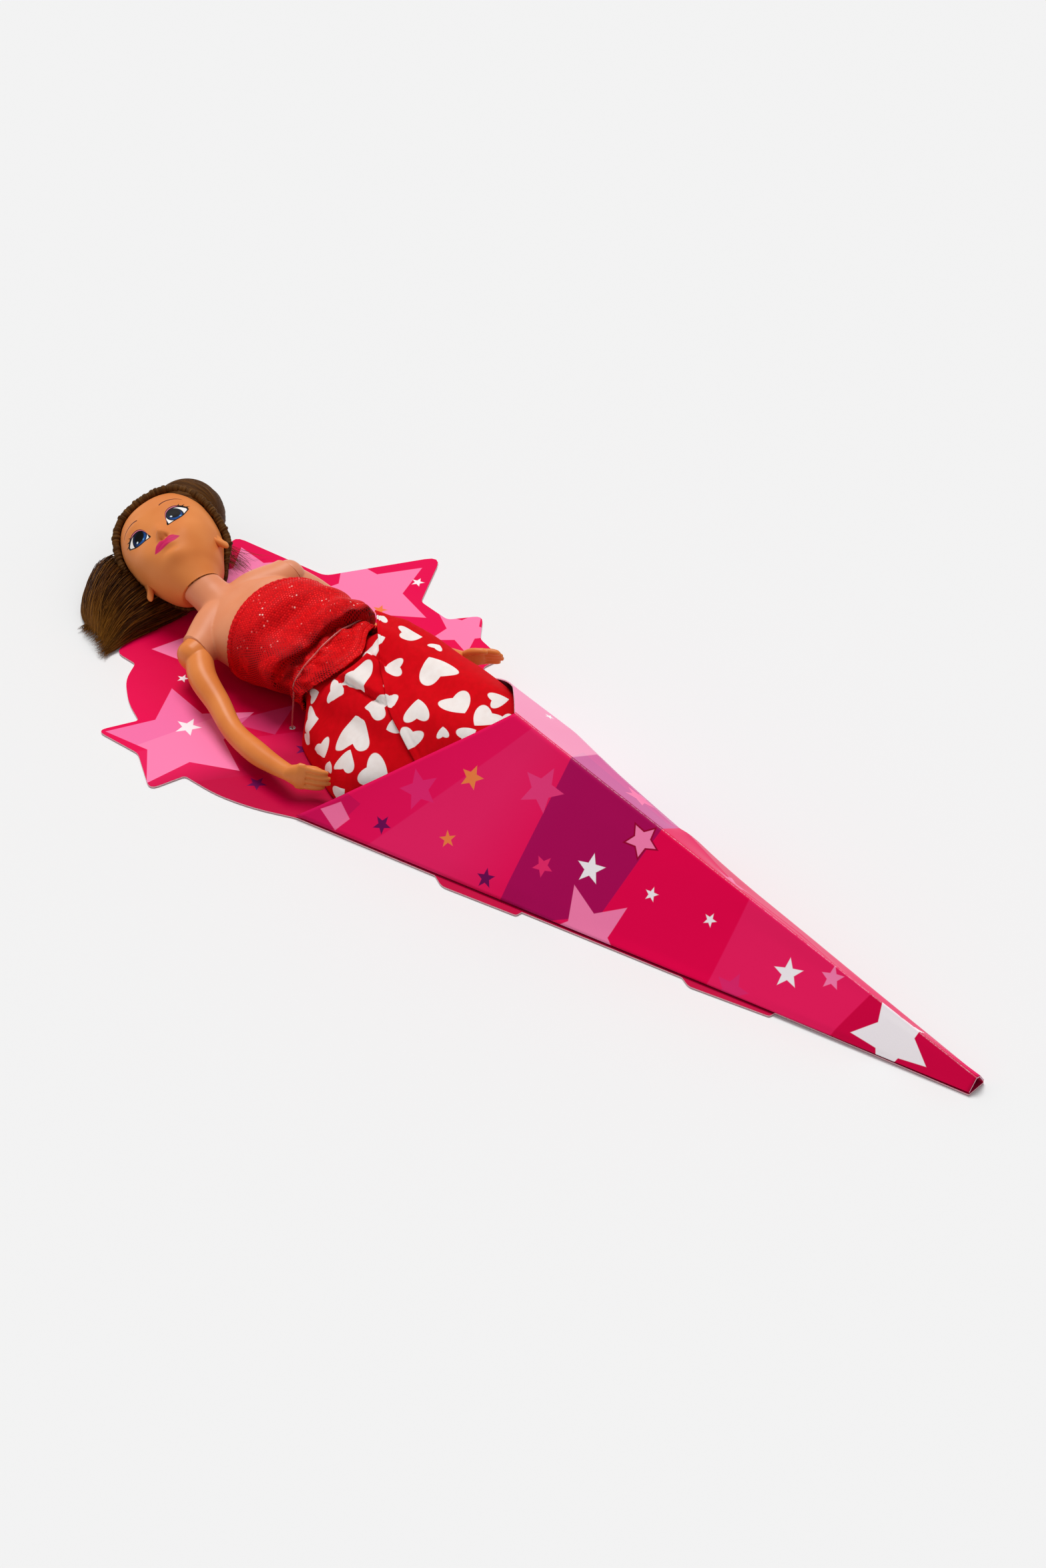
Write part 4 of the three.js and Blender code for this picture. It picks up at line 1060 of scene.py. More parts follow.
@dataclass
class ConeForm:
    """The folded front of the carton as rulings from its mouth to its tip."""

    left: float = 55.5
    right: float = 52.1
    mouth_left: float = -23.0
    mouth_right: float = -19.4
    length: float = 300.0
    base: float = 1.5
    ridge: Triple = (0.8, -82.0, 49.0)
    fold: Triple = (20.5, -63.0, 40.0)
    bow: float = 2.2
    tip_half: float = 4.3
    tip_ridge: float = 5.8
    tip_fold: float = 5.2

    def rulings(self, fine: int) -> tuple[np.ndarray, np.ndarray]:
        """The mouth's points and the tip's points, side by side.

        Args:
            fine: How many times finer than the solid's panels.

        Returns:
            Two arrays of points.
        """
        corners = [vec(-self.left, self.mouth_left, self.base), np.array(self.ridge), np.array(self.fold)]
        corners.append(vec(self.right, self.mouth_right, self.base))
        tips = [vec(-self.tip_half - 0.5, -self.length, self.base), vec(-0.8, -self.length, self.tip_ridge)]
        tips += [vec(1.4, -self.length, self.tip_fold), vec(self.tip_half - 0.5, -self.length, self.base)]
        bend = mix(corners[2], corners[3], 0.5) + vec(2.2, -1.8, self.bow)
        mouth, tip = [], []
        for panel, steps in enumerate((4 * fine, 2 * fine, 4 * fine)):
            share = np.linspace(0, 1, steps + 1)[(0 if panel == 0 else 1):, None]
            line = mix(corners[panel], corners[panel + 1], share)
            if panel == 2:
                line = (1 - share) ** 2 * corners[2] + 2 * share * (1 - share) * bend + share**2 * corners[3]
            mouth.append(line)
            tip.append(mix(tips[panel], tips[panel + 1], share))
        return np.vstack(mouth), np.vstack(tip)


STUDIO = Studio()
BODY = BodyForm()
HEAD = HeadForm()
CONE = ConeForm()


class Part(Enum):
    """The bodies that pieces ride on."""

    CARTON = "carton"
    TORSO = "torso"
    HEAD = "head"
    LEFT_ARM = "left_arm"
    RIGHT_ARM = "right_arm"


# Finishes of the doll.


@dataclass(frozen=True)
class Vinyl:
    """Smooth moulded vinyl with a faint mottling and a satin shine."""

    name: str
    colour: Colour
    shade: Colour
    roughness: float = 0.42
    pink_shoulder_patch: Triple | None = None

    def shader(self) -> Shader:
        """The finish as a material."""
        shader = Shader(self.name)
        place = shader.place()
        cloud = shader.noise(place, 60.0, 3.0)
        skin = shader.blend(shader.step(cloud, 0.52, 0.5), self.colour, self.shade)
        # A pinker patch in the trunk's colour round a given point.
        if self.pink_shoulder_patch:
            reach = shader.arrange("DISTANCE", place, self.pink_shoulder_patch, place=1)
            skin = shader.blend(shader.step(reach, 0.019, 0.007), rgb(226, 148, 112), skin)
        fine = shader.noise(place, 2600.0, 2.0)
        shader.set(base_color=skin, roughness=shader.math("MULTIPLY_ADD", cloud, 0.12, self.roughness - 0.06))
        shader.set(specular_ior_level=0.24)
        return shader.relief(fine, 0.12, 0.00006)


@dataclass(frozen=True)
class FacePaint:
    """Head vinyl with printed eyes, brows and lips, placed in the head's own frame, and painted shade in the
    nostrils and where the lips meet.
    """

    skin: Colour = rgb(230, 142, 78)
    shade: Colour = rgb(217, 124, 62)
    lips: Colour = rgb(210, 40, 96)
    brow: Colour = rgb(86, 30, 14)
    ink: Colour = rgb(4, 2, 4)
    white: Colour = rgb(250, 244, 240)
    lid: Colour = rgb(226, 120, 150)
    iris: Colour = rgb(24, 78, 150)
    iris_dark: Colour = rgb(10, 30, 72)
    nostril_shade: Colour = rgb(170, 72, 24)
    lip_join_shade: Colour = rgb(150, 25, 75)
    spark: Colour = rgb(225, 240, 250)
    glow: Colour = rgb(110, 175, 225)
    mouth_right: float = -6.3
    mouth_left: float = 5.8
    nostril_y: float = -6.9
    eye_right: float = -8.1
    eyes_apart: float = 16.5
    iris_radius: float = 3.9
    pupil_radius: float = 2.45

    def shader(self) -> Shader:
        """The finish as a material."""
        s = Shader("face_vinyl")
        spot = s.arrange("SUBTRACT", s.place(), tuple(HEAD.centre * MM))
        x = s.arrange("DOT_PRODUCT", spot, tuple(HEAD.left / MM), place=1)
        y = s.arrange("DOT_PRODUCT", spot, tuple(HEAD.up / MM), place=1)
        z = s.arrange("DOT_PRODUCT", spot, tuple(HEAD.face / MM), place=1)
        front = s.step(z, 5.0, 2.0)
        side = abs(x)
        cloud = s.noise(s.place(), 55.0, 2.0)
        colour = s.blend(s.step(cloud, 0.52, 0.5), self.skin, self.shade)
        # Darker spots in the nostrils: painted shade in their hollows.
        hole = s.reach(abs(x - 0.2) - 1.3, y - self.nostril_y)
        colour = s.blend(s.fall(hole, 0.5, 0.7) * 0.4, colour, self.nostril_shade)
        colour = self.mouth(s, x, y, front, colour)
        colour = self.eyes(s, x, side, y, front, colour)
        s.set(base_color=colour, roughness=0.46, specular_ior_level=0.1)
        fine = s.noise(s.place(), 2600.0, 2.0)
        return s.relief(fine, 0.1, 0.00006)

    def mouth(self, s: Shader, x: Link, y: Link, front: Link, under: Link) -> Link:
        """Prints the lips over a colour, with painted shade along the line where they meet.

        Args:
            s: The material being made.
            x: The place to the doll's left.
            y: The place to the crown.
            front: A mask of the face's side of the head.
            under: The colour below.

        Returns:
            The colour with the lips.
        """
        right, left = (self.mouth_right, -10.1), (self.mouth_left, -9.7)
        upper = s.curve(x, [right, (-4.9, -8.6), (-3.6, -7.5), (-2.1, -7.2), (0.1, -7.6), (1.8, -7.3),
                            (3.1, -7.4), (4.4, -8.4), left])
        lower = s.curve(x, [right, (-5.0, -10.7), (-3.4, -11.1), (-1.0, -11.4), (1.8, -11.1), (4.2, -10.4), left])
        inside = s.step(upper - y, 0.0, 0.3) & s.step(y - lower, 0.0, 0.3)
        inside = inside & s.step(x, right[0], 0.3) & s.fall(x, left[0], 0.3) & front
        # A darker line where the lips meet: painted shade in the crease between them.
        line = s.curve(x, [right, (-3.4, -9.5), (-1.0, -9.3), (0.2, -9.5), (1.6, -9.2), (3.6, -9.3), left])
        crease = s.fall(abs(y - line), 0.1, 0.35)
        colour = s.blend(inside, under, self.lips)
        return s.blend(inside * crease * 0.35, colour, self.lip_join_shade)

    def eyes(self, s: Shader, x: Link, side: Link, y: Link, front: Link, under: Link) -> Link:
        """Prints the eyes, lids, lashes and brows over a colour.

        Args:
            s: The material being made.
            x: The place to the doll's left.
            side: The place to either side.
            y: The place to the crown.
            front: A mask of the face's side of the head.
            under: The colour below.

        Returns:
            The colour with the eyes.
        """
        inner, outer = (4.0, -0.6), (14.2, 6.1)
        above = y - s.curve(side, [inner, (4.4, 1.6), (5.0, 4.6), (6.5, 7.2), (8.9, 8.4), (11.2, 8.2), (13.0, 7.1),
                                   outer])
        below = y - s.curve(side, [inner, (5.0, -0.3), (6.3, 0.3), (8.2, 1.1), (9.8, 1.9), (11.4, 3.0), (12.8, 4.4),
                                   outer])
        shape = s.step(0.85 - above, 0.0, 0.2) & s.step(below, -0.45, 0.2) & s.step(side, 3.9, 0.2)
        shape = shape & s.fall(side, 14.1, 0.3) & front
        lid = s.step(above, 0.02, 0.2) & s.fall(above, 0.45, 0.2) & s.step(side, 4.35, 0.3)
        lid = lid & s.fall(side, 10.6, 1.6) & front
        opening = s.step(-0.6 - above, 0.0, 0.2) & s.step(below, 0.2, 0.2) & s.step(side, 4.7, 0.2)
        opening = opening & s.fall(side, 13.4, 0.3) & front
        lashes = ((13.2, 6.9, 15.0, 7.7, 0.34), (12.4, 8.0, 13.6, 9.1, 0.3), (11.2, 8.6, 12.0, 9.8, 0.26))
        for x0, y0, x1, y1, half in lashes:
            length = math.hypot(x1 - x0, y1 - y0)
            ahead = ((side - x0) * (x1 - x0) + (y - y0) * (y1 - y0)) / length
            off = abs(((side - x0) * (y1 - y0) - (y - y0) * (x1 - x0)) / length)
            taper = half * (1.15 - ahead / length)
            mark = s.fall(off - taper, 0.0, 0.15) & s.step(ahead, 0.0, 0.2) & s.fall(ahead, length, 0.3)
            shape = shape | (mark & front)
        lift = s.curve(side, [(5.2, 12.9), (6.6, 13.7), (8.6, 14.2), (10.8, 14.1), (12.4, 13.6), (13.8, 12.6)])
        thick = s.curve(side, [(5.2, 0.42), (7.0, 0.46), (11.0, 0.34), (13.8, 0.12)])
        brow = s.fall(abs(y - lift) - thick, 0.0, 0.2) & s.step(side, 5.2, 0.25)
        brow = brow & s.fall(side, 13.8, 0.3) & front
        aside = x - (s.step(x, 0.0, 1.0) * self.eyes_apart + self.eye_right)
        reach = s.math("SQRT", aside * aside * 1.1 + (y - 4.2) * (y - 4.2) * 0.85)
        wide = self.iris_radius - s.step(x, 0.0, 1.0) * 0.4
        iris = s.fall(reach - wide, 0.0, 0.25)
        ring = s.step(reach - wide, -0.6, 0.45)
        bright = s.blend(s.step((y - 4.0) * -0.75 + aside * 0.35, 0.5, 2.8), self.iris_dark, self.iris)
        pupil = s.fall(s.reach(aside, y - 5.0), self.pupil_radius, 0.45)
        eye = s.blend(iris, self.white, s.blend(ring, bright, self.ink))
        eye = s.blend(iris & pupil, eye, self.ink)
        for cx, cy, size, tone in ((6.9, 3.9, 0.4, self.spark), (10.1, 2.8, 0.36, self.glow),
                                   (-9.8, 3.9, 0.4, self.spark), (-7.0, 2.3, 0.36, self.glow)):
            eye = s.blend(s.fall(s.reach(x - cx, y - cy), size, 0.3), eye, tone)
        colour = s.blend(shape, under, self.ink)
        colour = s.blend(lid, colour, self.lid)
        colour = s.blend(opening, colour, eye)
        return s.blend(brow, colour, self.brow)


@dataclass(frozen=True)
class Strands:
    """Combed or crimped doll hair: fine strands along the flat places' second number."""

    name: str
    dark: Colour = rgb(34, 14, 3)
    middle: Colour = rgb(82, 46, 13)
    light: Colour = rgb(134, 88, 34)
    across: float = 3.2
    along: float = 0.06
    strength: float = 0.7
    depth: float = 0.00022

    def shader(self) -> Shader:
        """The finish as a material."""
        s = Shader(self.name)
        u, v, _ = s.split(s.flat())
        lines = s.noise(s.merge(u * self.across, v * self.along, 0.0), 1.0, 3.0, 0.6)
        locks = s.noise(s.merge(u * (self.across * 0.16), v * (self.along * 0.7), 7.0), 1.0, 2.0)
        tone = self.tone(s, lines, locks)
        height = lines * 0.7 + locks
        s.set(base_color=tone, roughness=s.math("MULTIPLY_ADD", lines, 0.2, 0.4), specular_ior_level=0.06)
        return s.relief(height, self.strength, self.depth)

    def tone(self, s: Shader, lines: Link, locks: Link) -> Link:
        """The hair's colour from its strands and locks."""
        stops = [(0.3, self.dark), (0.52, self.middle), (0.72, self.light)]
        mixed = lines * 0.6 + locks * 0.4
        return s.out(s.node("ShaderNodeValToRGB", {"stops": stops}, {0: mixed}))


@dataclass(frozen=True)
class LooseStrands(Strands):
    """Single strands, each with its own tone from the first flat number, and painted lighter towards its end as
    painted light on the spread ends.
    """

    def shader(self) -> Shader:
        """The finish as a material."""
        s = Shader(self.name)
        u, v, _ = s.split(s.flat())
        stops = [(0.0, self.dark), (0.45, self.middle), (1.0, self.light)]
        tone = s.out(s.node("ShaderNodeValToRGB", {"stops": stops}, {0: u}))
        # Painted light: the strands turn paler towards their ends.
        colour = s.blend(s.step(v, 0.72, 0.6) * 0.4, tone, self.light)
        s.set(base_color=colour, roughness=0.45, specular_ior_level=0.08)
        return s


# The doll.


@dataclass
class Trunk:
    """The moulded trunk with its neck."""

    sides: int = 144
    steps: int = 7
    spacing: float = 4.2
    neck_run: float = 10.5
    seam: float = 3.0
    finish: Vinyl = Vinyl("trunk_vinyl", rgb(236, 154, 112), rgb(224, 138, 96))

    def build(self) -> Thing:
        """Makes the trunk's skin through its key rings."""
        angle = circle(self.sides)
        heights = np.arange(BODY.seat, BODY.neck[1] - self.neck_run, self.spacing)
        rings = [BODY.at(np.full(self.sides, y), angle) for y in heights]
        top = BODY.neck + BODY.neck_axis * (self.seam + 1.5)
        for back, wider in ((self.neck_run, 1.0), (7.0, 0.1), (3.5, 0.0), (0.0, 0.0)):
            radius = BODY.neck_radius + wider
            facing = unit(mix(BODY.neck_axis, BODY.neck_path, back / self.neck_run))
            across = unit(vec(facing[1], -facing[0], 0))
            upward = np.cross(across, facing)
            centre = top - BODY.neck_path * back
            rings.append(centre + radius * wheel(across, upward, angle))
        key = np.array(rings)
        share = np.linspace(0, 1, (len(key) - 1) * self.steps + 1)
        fine = np.stack([catmull(key[:, n], share) for n in range(self.sides)], axis=1)
        fine[..., 2] = np.maximum(fine[..., 2], BODY.lowest)
        shells = [Sheet(self.relieved(fine), closed=True, capped=True).build("trunk_shell")]
        shells += [self.shoulder(-1), self.shoulder(1)]
        piece = joined("trunk", shells)
        melted(face_out(piece), voxel=0.45, rounds=6)
        for side in (-1, 1):
            face = BODY.rolled(side * (BODY.arm_plane - 0.3), BODY.shoulder_y, 0.0)
            cut(piece, face, BODY.side * side)
        cut(piece, BODY.neck + BODY.neck_axis * (self.seam - 0.3), BODY.neck_axis)
        shade_smooth(piece.data)
        dress(piece, self.finish.shader())
        return give(piece, Part.TORSO.value, "torso_vinyl", "torso")

    def shoulder(self, side: int) -> Thing:
        """The rounded shoulder that runs from the chest to an arm's joint.

        Args:
            side: 1 for the doll's left, or -1.

        Returns:
            The shell.
        """
        line = [(4.0, 68.0, 1.5, 8.2), (11.0, 66.8, 1.6, 8.4), (17.0, 65.0, 1.6, 8.0), (22.0, 63.4, 1.5, 7.5),
                (28.0, 62.4, 1.5, 7.1)]
        stations = [[*BODY.rolled(side * x, y, z), radius] for x, y, z, radius in line]
        return tube(stations, sides=48, steps=60, reference=vec(0, 0, 1)).build("shoulder_shell")

    def relieved(self, points: np.ndarray) -> np.ndarray:
        """Adds the collarbones' soft hollows to the chest.

        Args:
            points: The trunk's points.

        Returns:
            The moved points.
        """
        local = points - vec(BODY.centre, 0, BODY.height)
        x = local @ BODY.side
        out = local @ BODY.front
        y = points[..., 1]
        hollow = -0.5 * bump(y - 69 + 0.12 * np.abs(x), 2.2) * bump(np.abs(x) - 7, 5)
        notch = -0.5 * bump(y - 70, 3) * bump(x, 2.6)
        front = smoothstep(2, 6, out)
        return points + BODY.front * ((hollow + notch) * front)[..., None]


@dataclass
class Arm:
    """An arm with its rounded shoulder and a moulded hand."""

    name: str
    body: Part
    side: int
    stations: Sequence[Sequence[float]]
    pointing: np.ndarray
    row: np.ndarray
    curl_sign: int
    palm: Triple = (8.6, 4.4, 8.6)
    finger: tuple[float, float] = (1.25, 7.6)
    thumb: float = 8.5
    thumb_aside: float = 1.0
    wrist_radius: float = 3.0
    shoulder_radius: float = 6.6
    reach: float = 12.0
    finish: Vinyl = Vinyl("limb_vinyl", rgb(236, 142, 72), rgb(220, 122, 54), 0.36)

    def build(self) -> Thing:
        """Makes the arm and hand as one skin."""
        limb = tube(self.stations, sides=40, steps=150, reference=vec(0, 0, 1))
        shells = [limb.build("limb_shell"), self.cap(), *self.hand()]
        arm = joined(self.name, shells)
        melted(face_out(arm), voxel=0.3, rounds=3)
        out = BODY.side * self.side
        cut(arm, BODY.rolled(self.side * BODY.arm_plane, BODY.shoulder_y, 0.0), -out)
        shade_smooth(arm.data)
        # Only the left arm gets the pinker patch, round its shoulder.
        pink_shoulder_patch = tuple(BODY.rolled(29.0, BODY.shoulder_y, 3.0) * MM) if self.side > 0 else None
        dress(arm, replace(self.finish, pink_shoulder_patch=pink_shoulder_patch).shader())
        return give(arm, self.body.value, "limb_vinyl", self.body.value)

    def cap(self) -> Thing:
        """The rounded top, turned about the shoulder's axis."""
        r, end = self.shoulder_radius, self.reach
        profile = [(1.0, r), (end - 6.0, r), (end - 4.0, r - 0.25), (end - 2.0, r - 1.4), (end - 0.6, r - 3.8),
                   (end, 0.3)]
        share = np.linspace(0, 1, 40)
        line = catmull(np.array([[a, b, 0.0] for a, b in profile]), share)
        out = BODY.side * self.side
        ring = wheel(vec(0, 1, 0), np.cross(out, vec(0, 1, 0)), circle(40))
        points = BODY.shoulder(self.side) + line[:, :1, None] * out + line[:, 1:2, None] * ring[None]
        return Sheet(points, closed=True, capped=True).build("cap_shell")

    def hand(self) -> list[Thing]:
        """The palm, four fingers and thumb as overlapping shells."""
        wrist = np.array(self.stations[-1][:3], float)
        pointing = unit(self.pointing)
        row = unit(self.row - pointing * (self.row @ pointing))
        curl = unit(np.cross(row, pointing))
        curl = curl if curl[0] * self.curl_sign > 0 else -curl

        def place(along: float, across: float, out: float) -> np.ndarray:
            """A place on the hand."""
            return wrist + pointing * along + row * across + curl * out

        width, thickness, length = self.palm
        radius, reach = self.finger
        turn = circle(28)
        sizes = [(-1.5, self.wrist_radius * 0.95, self.wrist_radius * 0.9), (2, width * 0.4, thickness * 0.52),
                 (length * 0.6, width * 0.5, thickness * 0.5), (length, width * 0.5, thickness * 0.36),
                 (length + 1, width * 0.44, thickness * 0.26)]
        rings = [[place(a, math.cos(t) * w, math.sin(t) * d) for t in turn] for a, w, d in sizes]
        shells = [Sheet(np.array(rings), closed=True, capped=True).build("palm_shell")]
        spacing = (width - radius) / 3.4
        aslant = vec(0.1, 0.2, 1)
        for number, share in enumerate((0.86, 0.97, 1.0, 0.8)):
            across, long = (number - 1.5) * spacing, reach * share
            line = []
            for along, out, size in ((length - 2.5, -0.2, 1.05), (length + long * 0.3, 0.35, 0.98),
                                     (length + long * 0.45, 0.5, 1.04), (length + long * 0.82, 1.3, 0.92),
                                     (length + long, 2.0, 0.55)):
                line.append([*place(along, across * (1 - 0.02 * along), out), radius * size])
            shells.append(tube(line, 20, 30, aslant).build("finger_shell"))
        thumb = []
        for along, across, out, size in ((1.5, 0.34, 0.6, 1.1), (4.5, 0.58, 1.8, 1.15), (self.thumb, 0.66, 3, 1),
                                         (self.thumb + 2.2, 0.62, 3.4, 0.6)):
            spot = place(along, -width * across * self.thumb_aside, out + 1.6 * (1 - self.thumb_aside))
            thumb.append([*spot, radius * size])
        shells.append(tube(thumb, 20, 30, aslant).build("thumb_shell"))
        return shells


@dataclass
class Legs:
    """The two straight legs, hidden in the skirt and the carton; their solids are kept."""

    finish: Vinyl = Vinyl("leg_vinyl", rgb(236, 142, 72), rgb(220, 122, 54), 0.36)

    def build(self) -> None:
        """Gives both legs their finish."""
        shader = self.finish.shader()
        for name in ("left_leg", "right_leg"):
            dress(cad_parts[name], shader)
            LOG.info("%s keeps its solid", name)


@dataclass
class Head:
    """The moulded head with its relief, ears and printed face."""

    sides: int = 400
    seam: float = 3.0
    ear_drop: float = 8.9
    ear_height: float = 10.6
    ear_forward: float = 1.9
    nose_tip: float = 2.75
    nose_radius: float = 3.2
    # Each feature's height, middle line, way to both sides of it, half width, place up the face and half height.
    features: Sequence[Sequence[float]] = (
        (0.75, 0.2, 2.1, 1.0, -5.9, 1.1),  # Wings of the nose.
        (-0.5, 0.2, 1.1, 0.6, -6.9, 0.6),  # Nostrils.
        (1.1, 0.0, 0.0, 2.5, -1.2, 4.2),  # Bridge of the nose.
        (-0.3, 0.0, 0.0, 1.0, -7.4, 0.9),  # Hollow under the nose.
        (0.95, 0.0, 0.0, 3.6, -8.4, 1.15),  # Upper lip.
        (-0.25, 0.0, 0.0, 0.8, -7.9, 0.9),  # Its notch.
        (1.15, 0.0, 0.0, 2.9, -10.7, 1.25),  # Lower lip.
        (-0.35, 0.0, 0.0, 3.4, -13.2, 1.2),  # Fold under the lips.
        (1.4, 0.0, 0.0, 4.6, -16.2, 3.0),  # Chin.
        (0.8, 0.0, 10.0, 4.8, -7.0, 4.8),  # Cheeks.
        (-0.75, 0.0, 8.6, 4.6, 3.0, 4.0),  # Eye sockets.
        (0.45, 0.0, 8.5, 5.5, 12.2, 2.2),  # Ridges of the brows.
    )
    finish: FacePaint = FacePaint()

    def relief(self, x: np.ndarray, y: np.ndarray) -> np.ndarray:
        """How far the features stand out of the face.

        Args:
            x: Places to the doll's left.
            y: Places to the crown.

        Returns:
            The features' heights, less than 0 where they are hollows.
        """
        total = self.nose_tip * smoothstep(1.0, 0.08, np.hypot(x - 0.3, y + 4.7) / self.nose_radius)
        for height, middle, aside, wide, up, tall in self.features:
            total = total + height * bump(np.abs(x - middle) - aside, wide) * bump(y - up, tall)
        return total

    def build(self) -> Thing:
        """Makes the head and its ears as one piece."""
        low, crown = -HEAD.neck_drop + 0.6, HEAD.crown
        heights = np.concatenate([
            np.arange(low, -14, 0.6), np.arange(-14, 16, 0.28), np.arange(16, crown - 4, 0.6),
            crown - 4 * (1 - np.linspace(0, 1, 14)) ** 1.7,
        ])
        local = HEAD.ring(heights, self.sides)
        lift = self.relief(local[..., 0], local[..., 1]) * smoothstep(2, 9, local[..., 2])
        local[..., 2] += lift
        points = HEAD.world(local)
        depth = (points - BODY.neck) @ BODY.neck_axis
        round_neck = unit(points - BODY.neck - depth[..., None] * BODY.neck_axis)
        rim = BODY.neck + BODY.neck_axis * self.seam + round_neck * (BODY.neck_radius + 0.4)
        points = mix(points, rim, smoothstep(-18.5, low, heights)[:, None, None])
        depth = (points - BODY.neck) @ BODY.neck_axis
        points += BODY.neck_axis * np.maximum(self.seam + 0.02 - depth, 0)[..., None]
        head = Sheet(points, closed=True, capped=True).build("head_shell")
        whole = joined("moulded_head", [face_out(head), self.ear(-1), self.ear(1)])
        dress(whole, self.finish.shader())
        return give(whole, Part.HEAD.value, "head_vinyl", "head")

    def ear(self, side: int) -> Thing:
        """One ear: a small shell with a pressed bowl and a lobe.

        Args:
            side: 1 for the doll's left, or -1.

        Returns:
            The shell.
        """
        rows, columns = 40, 60
        theta = np.linspace(0.001, math.pi - 0.001, rows)[:, None]
        phi = np.linspace(0, TAU, columns, endpoint=False)[None, :]
        x = np.sin(theta) * np.cos(phi)
        y = np.cos(theta) + 0 * phi
        z = np.sin(theta) * np.sin(phi)
        narrow = 1 - 0.5 * smoothstep(0.5, -1, y)
        local = np.stack([x * 1.7 + side * 1.5 * smoothstep(0.4, -1, y), y * self.ear_height / 2, z * 2.7 * narrow],
                         axis=-1)
        bowl = smoothstep(0.35, 0.9, x * side) * bump(local[..., 2] - 0.5, 1.5) * bump(local[..., 1] - 0.8, 2.3)
        local[..., 0] -= side * 1.2 * bowl
        for axis, turn in ((0, 0.18), (1, -0.42 * side)):
            c, s = math.cos(turn), math.sin(turn)
            a, b = ((1, 2), (2, 0))[axis]
            first, second = local[..., a].copy(), local[..., b].copy()
            local[..., a], local[..., b] = first * c - second * s, first * s + second * c
        half = float(HEAD.outline(-self.ear_drop)[0])
        local += vec(side * (half + 0.5), -self.ear_drop, self.ear_forward)
        shell = Sheet(HEAD.world(local), closed=True, capped=True).build("ear_shell")
        return face_out(shell)


